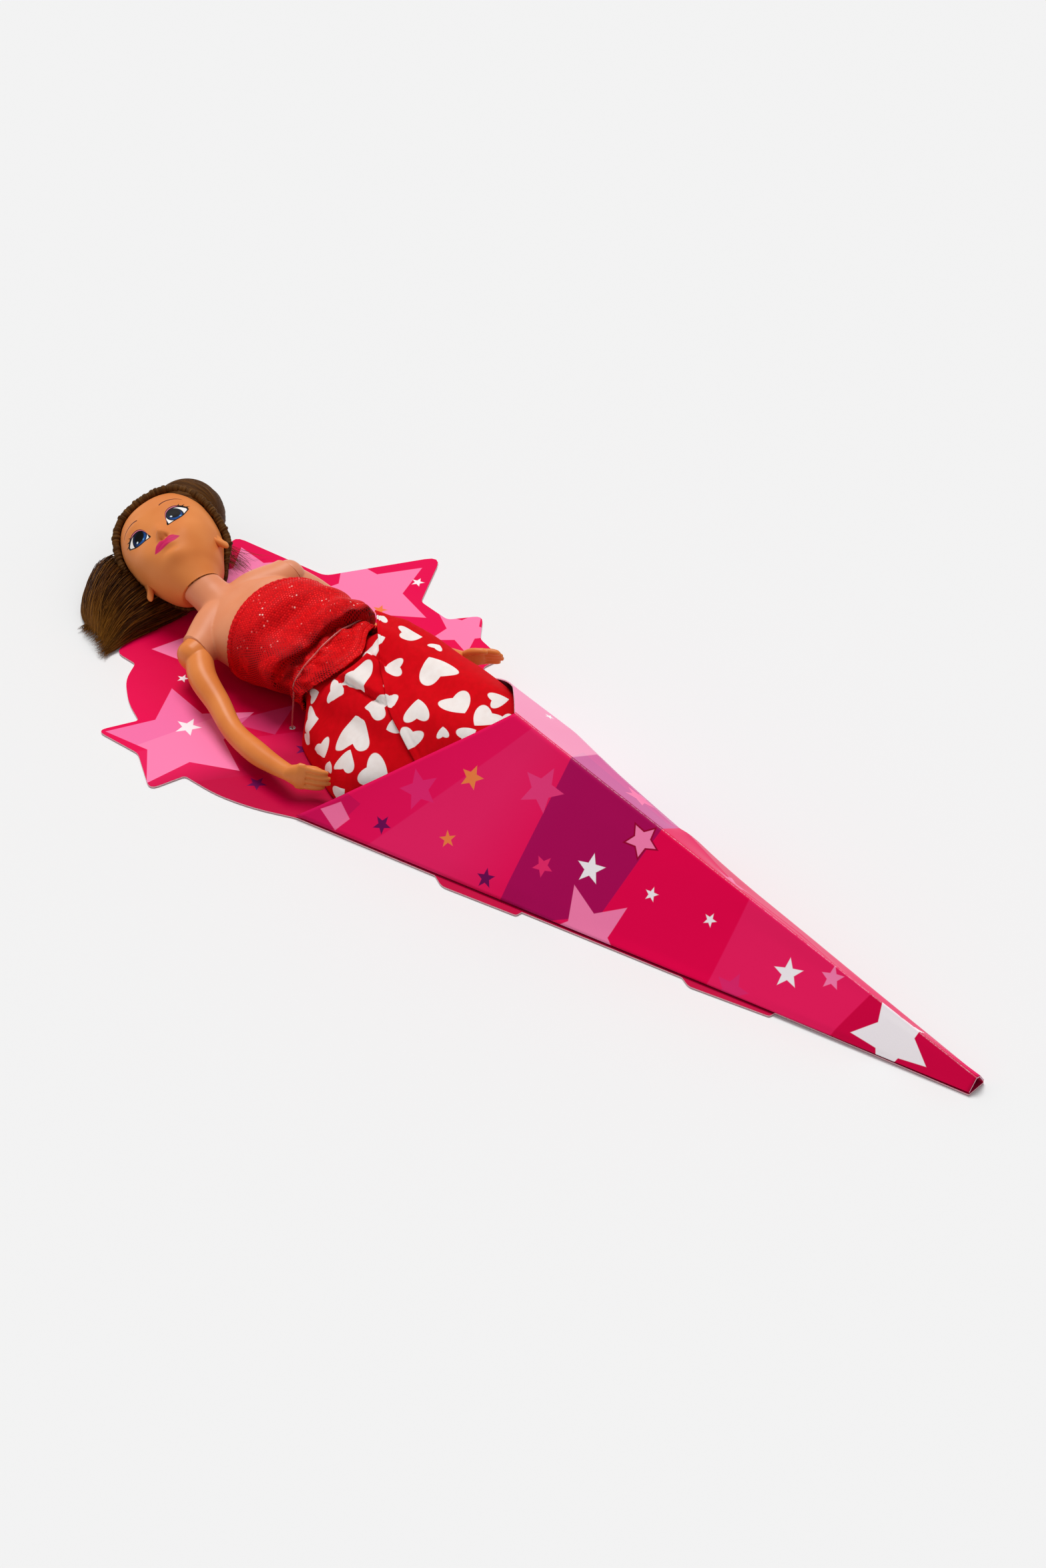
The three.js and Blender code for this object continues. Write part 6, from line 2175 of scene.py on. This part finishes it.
    def creases(self, point: np.ndarray) -> np.ndarray:
        """The pleats and soft folds that start at the waist, as heights at places laid out in the picture.

        Args:
            point: The points of the cloth.

        Returns:
            How far each stands out.
        """
        px, py, _ = STUDIO.picture(point)
        spot = np.stack([px, py], axis=-1)
        total = np.zeros(px.shape)
        for line, high, rise, fall in self.folds:
            table = np.array(line, float)
            nearest, aside, share = np.full(px.shape, 1e9), np.zeros(px.shape), np.zeros(px.shape)
            for n in range(len(table) - 1):
                run = table[n + 1] - table[n]
                length = float(np.linalg.norm(run))
                ahead = np.clip((spot - table[n]) @ run / length**2, 0, 1)
                gap = spot - table[n] - ahead[..., None] * run
                away = np.linalg.norm(gap, axis=-1)
                closer = away < nearest
                turn = np.sign(run[0] * gap[..., 1] - run[1] * gap[..., 0])
                nearest = np.where(closer, away, nearest)
                aside = np.where(closer, away * turn, aside)
                share = np.where(closer, (n + ahead) / (len(table) - 1), share)
            fade = smoothstep(0, 0.18, share) * smoothstep(1, 0.8, share)
            total += high * fade * np.where(aside < 0, bump(aside, rise), bump(aside, fall))
            total -= 0.45 * high * fade * bump(aside - fall * 1.8, fall)
        return total

    def waist_corner(self, points: np.ndarray) -> np.ndarray:
        """Stands the panel's upper corner up a little."""
        lift = smoothstep(1, 13, points[..., 1]) * smoothstep(8, 20, points[..., 0])
        return points + lift[..., None] * vec(-1.0, -1.5, 4.2)

    def base(self) -> tuple[Thing, Sheet]:
        """The tube round the hips."""
        rows, sides = 190, 340
        angle = np.broadcast_to(circle(sides) - math.pi / 2, (rows, sides))
        y = mix(self.waist, self.waist - self.length, np.linspace(0, 1, rows) ** 1.2)[:, None] + 0 * angle
        sheet = Sheet(self.surface(y, angle), closed=True).arc_flat()
        return sheet.build("skirt_base"), sheet

    def panel(self) -> tuple[Thing, Sheet]:
        """The front panel that lies over the base, from its free edge to the doll's left."""
        rows, columns = 190, 200
        y = mix(self.waist - 4.5, self.waist - self.length, np.linspace(0, 1, rows) ** 1.1)
        low, high = np.full(rows, 0.2), np.full(rows, math.pi - 0.05)
        target = self.edge(y)[0]
        free = halved(low, high, 26, lambda angle: self.surface(y, angle, tucked=False)[:, 0] > target)
        share = np.linspace(0, 1, columns)[None, :]
        angle = mix(free[:, None], -0.45, share)
        tall = y[:, None] + 0 * share
        near = smoothstep(0.06, 0.0, share)
        points = self.surface(tall, angle, tucked=False)
        outward = unit(np.stack([np.cos(angle), 0 * angle, np.maximum(np.sin(angle), 0)], axis=-1))
        lift = self.panel_step + 0.5 * near * np.sin(tall * 0.2 + 0.5) ** 2
        rib = 0.3 * bump((share - 0.028) * 90, 0.5) * -1
        points = points + outward * (lift + rib)[..., None]
        points = self.waist_corner(points)
        points[..., 2] = np.maximum(points[..., 2], self.floor + 0.7)
        sheet = Sheet(points).arc_flat(0.4)
        return sheet.build("skirt_panel"), sheet

    def finish(self, thing: Thing, sheet: Sheet, hearts: Sequence[Sequence[float]], *nodes: str) -> None:
        """Gives a sheet its thickness, its printed hearts and its place on the doll.

        Args:
            thing: The sheet's object.
            sheet: Its points and flat places.
            hearts: What each of its hearts is made of.
            nodes: The solids it stands for.
        """
        face_up(thing)
        thicken(thing, self.thickness)
        marks = tuple(Heart(*heart).on(sheet) for heart in hearts)
        dress(thing, HeartCotton(f"{thing.name}_cotton", marks).shader())
        give(thing, Part.TORSO.value, "heart_cotton", *nodes)

    def build(self) -> None:
        """Makes both sheets of the skirt."""
        base_hearts = (
            (535, 1014, 12, -58), (529, 1096, 15, 83), (516, 1139, 9.5, 70), (562, 1157, 13, -30),
            (565, 1058, 10, 175), (500, 1034, 9, 5), (556, 970, 10, -60), (462, 1079, 9, 0), (480, 1122, 8, -75),
            (467, 1040, 6, 30), (457, 1108, 6, -70), (589, 1088, 6, 200), (505, 1191, 7, 40), (489, 1149, 5, 80),
            (590, 1030, 7, 20),
        )
        panel_hearts = (
            (589, 1000, 8.2, 180), (652, 1001, 15, 122), (616, 948, 10.5, -14), (625, 1063, 10.5, 86),
            (685, 1052, 12.5, -52), (726, 1072, 12, 214), (748, 1045, 8.5, 5), (565, 955, 6, 10),
            (573, 923, 5.5, 60), (584, 1049, 6.5, -80), (614, 1108, 9.6, -110), (656, 966, 6, 30),
            (663, 1098, 5, 90), (700, 1100, 8, 30), (760, 1080, 9, 200),
        )
        base, base_sheet = self.base()
        self.finish(base, base_sheet, base_hearts, "skirt")
        panel, panel_sheet = self.panel()
        self.finish(panel, panel_sheet, panel_hearts)


def face_up(thing: Thing) -> Thing:
    """Turns an open sheet's faces the way its highest part looks up.

    Args:
        thing: The sheet's object.

    Returns:
        The same object.
    """
    work = bmesh.new()
    work.from_mesh(thing.data)
    bmesh.ops.recalc_face_normals(work, faces=work.faces)
    highest = max(work.faces, key=lambda face: face.calc_center_median().z)
    if highest.normal.z < 0:
        bmesh.ops.reverse_faces(work, faces=work.faces)
    work.to_mesh(thing.data)
    work.free()
    return thing


@dataclass(frozen=True)
class ClearElastic:
    """Clear stretchy thread with a pink cast."""

    tint: Colour = rgb(250, 168, 160)

    def shader(self) -> Shader:
        """The finish as a material."""
        s = Shader("clear_elastic")
        cloud = s.noise(s.place(), 900.0, 2.0)
        s.set(base_color=self.tint, roughness=0.2, transmission_weight=0.75, ior=1.4)
        return s.relief(cloud, 0.1, 0.00005)


@dataclass
class Thread:
    """The clear elastic thread that ties the waist to the card."""

    diameter: float = 0.7
    tie_y: float = 15.0
    left_x: float = -18.6
    right_x: float = 27.0
    card: float = 0.6
    finish: ClearElastic = ClearElastic()

    def build(self, top: Top) -> Thing:
        """Makes the thread over the bunched top, down to its two holes.

        Args:
            top: The top that it lies on.

        Returns:
            The piece.
        """
        line = [[self.left_x, self.tie_y, 0.3], [self.left_x, self.tie_y, self.card + 2]]
        for angle in np.radians(np.arange(168, 11, -6.5)):
            point = top.surface(np.array([self.tie_y]), np.array([angle]), self.diameter / 2 + 0.05)[0]
            line.append(point.tolist())
        line += [[self.right_x, self.tie_y, self.card + 2], [self.right_x, self.tie_y, 0.3]]
        over = np.array(line)
        for _ in range(3):
            over[3:-3] = (over[2:-4] + over[3:-3] * 2 + over[4:-2]) / 4
        over[3:-3, 2] += 0.35
        line = over.tolist()
        stations = [[*point, self.diameter / 2] for point in line]
        sheet = tube(stations, 16, 260, vec(0, 1, 0))
        path = sheet.points.mean(axis=1) * MM
        piece = sheet.build("elastic_thread")
        face_out(piece)
        dress(piece, self.finish.shader())
        give(piece, Part.CARTON.value, "elastic", "waist_tie")
        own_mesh(piece)
        return piece


# The carton.


@dataclass(frozen=True)
class Inks:
    """The carton's printing inks."""

    magenta: Colour = rgb(236, 2, 80)
    crimson: Colour = rgb(202, 0, 58)
    deep: Colour = rgb(158, 0, 48)
    rose: Colour = rgb(238, 44, 108)
    light: Colour = rgb(254, 130, 178)
    pale: Colour = rgb(250, 196, 220)
    white: Colour = rgb(252, 244, 248)
    purple: Colour = rgb(110, 14, 84)
    orange: Colour = rgb(244, 130, 70)
    board: Colour = rgb(236, 224, 222)


INKS = Inks()


def glossed(s: Shader, colour: Link, fibre: Link, scale: float, swell: float, depth: float) -> Shader:
    """Gives printed board its gloss and its slight unevenness.

    Args:
        s: The material being made.
        colour: The print.
        fibre: The board's fibres, as heights.
        scale: How many soft swellings there are to a metre.
        swell: Their height against the fibres'.
        depth: The relief's full depth, in metres.

    Returns:
        The material.
    """
    cloud = s.noise(s.place(), scale, 2.0)
    s.set(base_color=colour, roughness=s.math("MULTIPLY_ADD", cloud, 0.14, 0.27), specular_ior_level=0.05)
    return s.relief(cloud * swell + fibre * 0.2, 0.25, depth)


@dataclass(frozen=True)
class PrintedBack:
    """Glossy printed board with large and small stars, painted shade round the doll, bare board at its cut edges.
    """

    fold: Colour = rgb(246, 108, 166)
    # Painted shade over a piece of a pale star.
    shaded_star_piece: Colour = rgb(214, 70, 130)
    edge_ink: Colour = rgb(226, 120, 150)

    def shader(self) -> Shader:
        """The finish as a material."""
        s = Shader("printed_back")
        x, y, _ = s.ruler()
        # Deeper crimson round the doll: painted shadow of the doll over the magenta.
        near = s.math("SQRT", (x - 2.0) * (x - 2.0) * 1.4 + (y - 10.0) * (y - 10.0) * 0.25)
        colour = s.blend(s.step(near, 44.0, 50.0), INKS.crimson, INKS.magenta)
        bands = s.step(y * 0.8 + x * 0.6, -24.0, 0.4) & s.fall(y * 0.8 + x * 0.6, -2.0, 0.4)
        colour = s.blend(bands * 0.3, colour, INKS.rose)
        lower = s.fall(y + x * 0.4, -2.0, 14.0)
        colour = s.blend(lower * 0.6, colour, INKS.deep)
        colour = self.large(s, x, y, colour)
        colour = self.small(s, x, y, colour)
        ahead = s.out(s.node("ShaderNodeNewGeometry", {}, {}), "True Normal")
        facing = s.split(ahead)[2]
        edge = s.fall(abs(facing), 0.5, 0.2)
        fibre = s.noise(s.place(), 1800.0, 3.0)
        colour = s.blend(edge, colour, s.blend(fibre, INKS.board, self.edge_ink))
        return glossed(s, colour, fibre, 35.0, 3.0, 0.0004)

    def large(self, s: Shader, x: Link, y: Link, under: Link) -> Link:
        """Prints the large stars over a colour, with painted shade over a piece of a pale star.

        Args:
            s: The material being made.
            x: The place across the card.
            y: The place along the card.
            under: The colour below.

        Returns:
            The colour with the large stars.
        """
        fold = s.step(x * 0.30 + y * 0.95, 29.0, 0.3)
        tones = s.blend(fold * 0.7, INKS.light, self.fold)
        marks = [((-50.3, 41.7), 30.0, -90.0, tones, 0.51), ((60.5, 51.0), 27.5, -8.0, INKS.light, 0.5),
                 ((69.0, 7.5), 14.5, 12.0, INKS.light, 0.46), ((38.0, 92.0), 21.0, 58.0, INKS.light, 0.5)]
        colour = s.stars(x, y, under, marks)
        piece = s.facets(x, y, (-20.8, 89.2), (-18.3, 76.7), (-6.7, 85.0))
        colour = s.blend(piece, colour, INKS.light)
        # A piece of a pale star printed darker, as painted shade over it.
        shaded_star_piece = s.facets(x, y, (-33.0, 36.0), (-26.0, 17.0), (-8.0, 24.0))
        return s.blend(shaded_star_piece * 0.6, colour, self.shaded_star_piece)

    def small(self, s: Shader, x: Link, y: Link, under: Link) -> Link:
        """Prints the small stars over a colour.

        Args:
            s: The material being made.
            x: The place across the card.
            y: The place along the card.
            under: The colour below.

        Returns:
            The colour with the small stars.
        """
        marks = [((-45.0, 44.7), 5.3, 92, INKS.white), ((-51.2, 1.7), 4.0, 80, INKS.purple),
                 ((-24.7, 2.5), 4.0, 100, INKS.purple), ((-25.5, 67.2), 2.4, 95, INKS.white),
                 ((40.5, 94.2), 2.6, 88, INKS.white), ((79.7, 42.0), 2.7, 90, INKS.white),
                 ((56.7, 40.8), 3.2, 96, INKS.orange)]
        return s.stars(x, y, under, [(*mark, 0.42) for mark in marks])


@dataclass(frozen=True)
class PrintedFront:
    """The folded front's print on its flat blank, bare inside and at its edges."""

    mouth: Colour = rgb(238, 16, 90)
    middle: Colour = rgb(246, 6, 84)
    band: Colour = rgb(236, 0, 74)
    patch: Colour = rgb(146, 8, 88)
    wall: Colour = rgb(216, 110, 170)
    wall_pale: Colour = rgb(252, 170, 205)
    strip: Colour = rgb(186, 14, 84)

    def shader(self) -> Shader:
        """The finish as a material."""
        s = Shader("printed_front")
        u, v, _ = s.split(s.flat())
        colour = self.ground(s, u, v)
        colour = self.stars(s, u, v, colour)
        fibre = s.noise(s.place(), 1800.0, 3.0)
        crease = s.fall(abs(u), 0.22, 0.3)
        worn = crease * s.step(fibre, 0.5, 0.3) * 0.6
        colour = s.blend(worn, colour, INKS.pale)
        return glossed(s, colour, fibre, 28.0, 4.0, 0.0005)

    def ground(self, s: Shader, u: Link, v: Link) -> Link:
        """The large areas of colour.

        Args:
            s: The material being made.
            u: The place across the blank, from the ridge.
            v: The place along the ridge, from the tip.

        Returns:
            The ground colour.
        """
        colour = s.blend(s.step(v, 150.0, 150.0), self.middle, self.mouth)
        near = s.step(v, 250.0, 60.0)
        colour = s.blend(near * 0.25, colour, INKS.crimson)
        light = s.step(226.0 - v - (u + 35.0) * 0.37, 0.0, 0.5) & s.step(v, 196.0, 26.0)
        colour = s.blend(light * 0.55, colour, INKS.rose)
        band = s.step(149.0 - v, 0.0, 0.5) & s.step(v - u * 0.173, 106.4, 0.5)
        colour = s.blend(band * 0.85, colour, self.band)
        pink = s.step(106.4 - v + u * 0.173, 0.0, 0.5) & s.step(v + u * 0.15, 49.0, 0.5)
        colour = s.blend(pink * 0.45, colour, INKS.rose)
        tip = s.step(49.0 - v - u * 0.15, 0.0, 0.5)
        colour = s.blend(tip * 0.7, colour, INKS.crimson)
        patch = s.facets(u, v, (-58.0, 184.0), (-52.0, 164.0), (-39.0, 149.0), (12.0, 149.0), (12.0, 196.0))
        colour = s.blend(patch * 0.75, colour, self.patch)
        side = s.step(u, 1.0, 0.6)
        wall = s.blend(s.step(v, 149.0, 0.6), INKS.rose, self.wall)
        wall = s.blend(s.step(v, 194.0, 0.6), wall, self.wall_pale)
        colour = s.blend(side * 0.85, colour, wall)
        strip = s.facets(u, v, (-110.0, 262.0), (-62.0, 252.0), (-62.0, 400.0), (-110.0, 400.0))
        return s.blend(strip * 0.5, colour, self.strip)

    def stars(self, s: Shader, u: Link, v: Link, under: Link) -> Link:
        """Prints the stars over a colour.

        Args:
            s: The material being made.
            u: The place across the blank, from the ridge.
            v: The place along the ridge, from the tip.
            under: The colour below.

        Returns:
            The colour with the stars.
        """
        glass = s.facets(u, v, (-76.0, 254.0), (-69.0, 252.0), (-66.0, 259.0), (-73.0, 264.0))
        colour = s.blend(glass * 0.75, under, INKS.light)
        marks = [((-48.0, 149.0), 19.0, 51, INKS.light, 0.46), ((-7.0, 33.0), 16.0, 122, INKS.white, 0.48),
                 ((-28.4, 221.6), 4.8, 84, INKS.orange, 0.45), ((-63.0, 240.0), 3.8, 70, INKS.purple, 0.42),
                 ((-54.6, 193.6), 3.8, 98, INKS.purple, 0.42), ((-27.8, 162.2), 5.8, 95, INKS.white, 0.42),
                 ((-8.0, 152.6), 7.6, 60, INKS.deep, 0.5), ((-8.0, 152.6), 6.2, 60, INKS.light, 0.5),
                 ((-21.0, 137.6), 2.7, 88, INKS.white, 0.42), ((-14.8, 114.0), 2.6, 76, INKS.white, 0.42),
                 ((-12.4, 78.4), 5.8, 100, INKS.white, 0.42), ((-38.0, 178.0), 4.2, 62, INKS.rose, 0.45),
                 ((-30.0, 92.0), 7.0, 80, rgb(230, 40, 110), 0.46), ((-4.0, 64.0), 4.5, 96, INKS.light, 0.45),
                 ((-52.0, 215.0), 3.4, 40, INKS.orange, 0.4), ((18.0, 218.0), 2.0, 90, INKS.white, 0.42),
                 ((14.0, 168.0), 7.0, 76, INKS.light, 0.46), ((10.0, 118.0), 8.0, 100, INKS.light, 0.46),
                 ((-44.0, 236.0), 8.0, 50, rgb(232, 40, 112), 0.46),
                 ((-16.0, 196.0), 9.0, 78, rgb(236, 60, 124), 0.46)]
        return s.stars(u, v, colour, marks)


@dataclass(frozen=True)
class BareBoard:
    """Unprinted board: the carton's cut edges and glue flap, and its inner faces darkened by painted shade."""

    name: str
    colour: Colour
    speck: Colour

    def shader(self) -> Shader:
        """The finish as a material."""
        s = Shader(self.name)
        fibre = s.noise(s.place(), 900.0, 4.0, 0.6)
        s.set(base_color=s.blend(s.step(fibre, 0.5, 0.5), self.colour, self.speck), roughness=0.85,
              specular_ior_level=0.1)
        return s.relief(fibre, 0.3, 0.0001)


@dataclass
class Carton:
    """The printed back with its star-shaped head and the front folded into a cone."""

    board: float = 0.6
    fine: int = 10
    rows: int = 150
    dents: Sequence[Triple] = (
        (-63, 0, 0), (-93, 1.4, 0.3), (-114, -0.6, 0.4), (-134, -1.6, 0.3), (-149, -2.4, 0.4),
        (-156, -0.6, 0), (-183, -4.2, -0.4), (-198, -3.0, -0.8), (-214, -1.9, -1.2), (-232, -2.4, -1.4),
        (-248, -3.2, -1.4), (-275, -1.2, -0.6), (-300, 0, 0),
    )

    def blank(self, mouth: np.ndarray, tip: np.ndarray) -> np.ndarray:
        """Lays the front flat about its ridge.

        Args:
            mouth: The rulings' points at the mouth.
            tip: The rulings' points at the tip.

        Returns:
            The flat places of the mouth's and the tip's points, as two rows.
        """
        ridge = 4 * self.fine
        flat = np.zeros((2, len(mouth), 2))
        flat[0, ridge] = (0, np.linalg.norm(mouth[ridge] - tip[ridge]))
        for way in (1, -1):
            n = ridge
            while 0 <= n + way < len(mouth):
                place = self.third(flat[1, n], flat[0, n], tip[n], mouth[n], tip[n + way], way)
                flat[1, n + way] = place
                flat[0, n + way] = self.third(place, flat[0, n], tip[n + way], mouth[n], mouth[n + way], way)
                n += way
        return flat

    @staticmethod
    def third(origin: np.ndarray, along: np.ndarray, a: np.ndarray, b: np.ndarray, c: np.ndarray,
              way: int) -> np.ndarray:
        """Lays the third corner of a triangle flat beside the other two.

        Args:
            origin: The first corner's flat place.
            along: The second corner's flat place.
            a: The first corner.
            b: The second corner.
            c: The third corner.
            way: On which side of the line it goes.

        Returns:
            The third corner's flat place.
        """
        line = unit(along - origin)
        forward = float((c - a) @ unit(b - a))
        aside = math.sqrt(max(float((c - a) @ (c - a)) - forward**2, 0.0))
        return origin + line * forward + np.array([line[1], -line[0]]) * aside * way

    def front(self) -> Thing:
        """Makes the folded front with its creases, its soft dents and its bare edges."""
        mouth, tip = CONE.rulings(self.fine)
        flat = self.blank(mouth, tip)
        share = np.linspace(0, 1, self.rows)[:, None, None]
        points = mix(mouth[None], tip[None], share)
        spread = mix(flat[0][None], flat[1][None], share)
        table = np.array(sorted(self.dents))
        column = np.arange(len(mouth))
        ridge, fold = 4 * self.fine, 6 * self.fine
        far = fold + 3.4 * self.fine
        reach = np.where(column <= fold, smoothstep(ridge, fold, column), smoothstep(far, fold, column))
        y = points[..., 1]
        points[..., 0] += np.interp(y, table[:, 0], table[:, 1]) * reach
        points[..., 2] += np.interp(y, table[:, 0], table[:, 2]) * reach
        inner = smoothstep(0, 6, column) * smoothstep(ridge, ridge - 8, column)
        points[..., 2] += 0.5 * np.sin(y * 0.045 + column * 0.05) * inner * smoothstep(-296, -250, y)
        piece = Sheet(points, spread).build("folded_front")
        face_up(piece)
        printed = PrintedFront().shader()
        # The inner faces are dark maroon: grey-brown board darkened by painted shade inside the cone.
        bare = BareBoard("board_inside_shaded", rgb(96, 40, 58), rgb(78, 28, 46)).shader()
        rim = BareBoard("board_edge", rgb(244, 206, 216), rgb(226, 150, 178)).shader()
        for shader in (printed, bare, rim):
            piece.data.materials.append(shader.material)
        wall = piece.modifiers.new("board", "SOLIDIFY")
        wall.thickness = self.board * MM
        wall.offset = -1.0
        wall.material_offset = 1
        wall.material_offset_rim = 2
        settle(piece)
        return give(piece, Part.CARTON.value, "printed_card", "cone_front")

    def build(self) -> None:
        """Makes the front and finishes the back and the flap."""
        dress(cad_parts["back_card"], PrintedBack().shader())
        flap = BareBoard("flap_board", rgb(232, 222, 216), rgb(214, 200, 194))
        dress(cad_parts["glue_flap"], flap.shader())
        LOG.info("back_card and glue_flap keep their solids")
        self.front()


def arms() -> tuple[Arm, Arm]:
    """The doll's two arms."""
    left, right = BODY.shoulder(1), BODY.shoulder(-1)
    return (
        Arm("left_limb", Part.LEFT_ARM, 1, (
            (left[0] + 4.2, left[1] - 1, left[2] - 0.6, 5.2), (33.4, 52, 17, 5), (36.6, 38, 11, 4.3),
            (39.3, 23.5, 5.8, 4), (43, 8, 6.2, 4.4), (46, -3, 7.6, 3.6), (47.5, -11.5, 9.5, 3),
        ), vec(0.68, -0.72, 0.12), vec(0.1, 0.1, -1), -1, reach=9.3),
        Arm("right_limb", Part.RIGHT_ARM, -1, (
            (right[0] - 4.2, right[1] - 1, right[2] - 0.6, 5.4), (-29.4, 52, 12.2, 5.5), (-34.9, 38, 9.8, 4.7),
            (-41.2, 23.5, 7.8, 4.2), (-44.6, 8, 8, 4.5), (-46, -3, 9, 3.7), (-46.6, -11.5, 10, 3.1),
        ), vec(0.42, -0.9, -0.08), vec(-0.25, -0.02, -0.97), 1, (10.8, 4.4, 5.4), (1.2, 10.2), thumb_aside=0.3),
    )


def main() -> None:
    """Builds the studio, the carton and the doll in order."""
    logging.basicConfig(level=logging.INFO, format="%(message)s")
    STUDIO.build()
    Carton().build()
    top = Top()
    Thread().build(top)
    Trunk().build()
    Legs().build()
    for arm in arms():
        arm.build()
    Head().build()
    Hair().build()
    top.build()
    Skirt().build()
    bpy.context.view_layer.update()


if __name__ == "__main__":
    main()
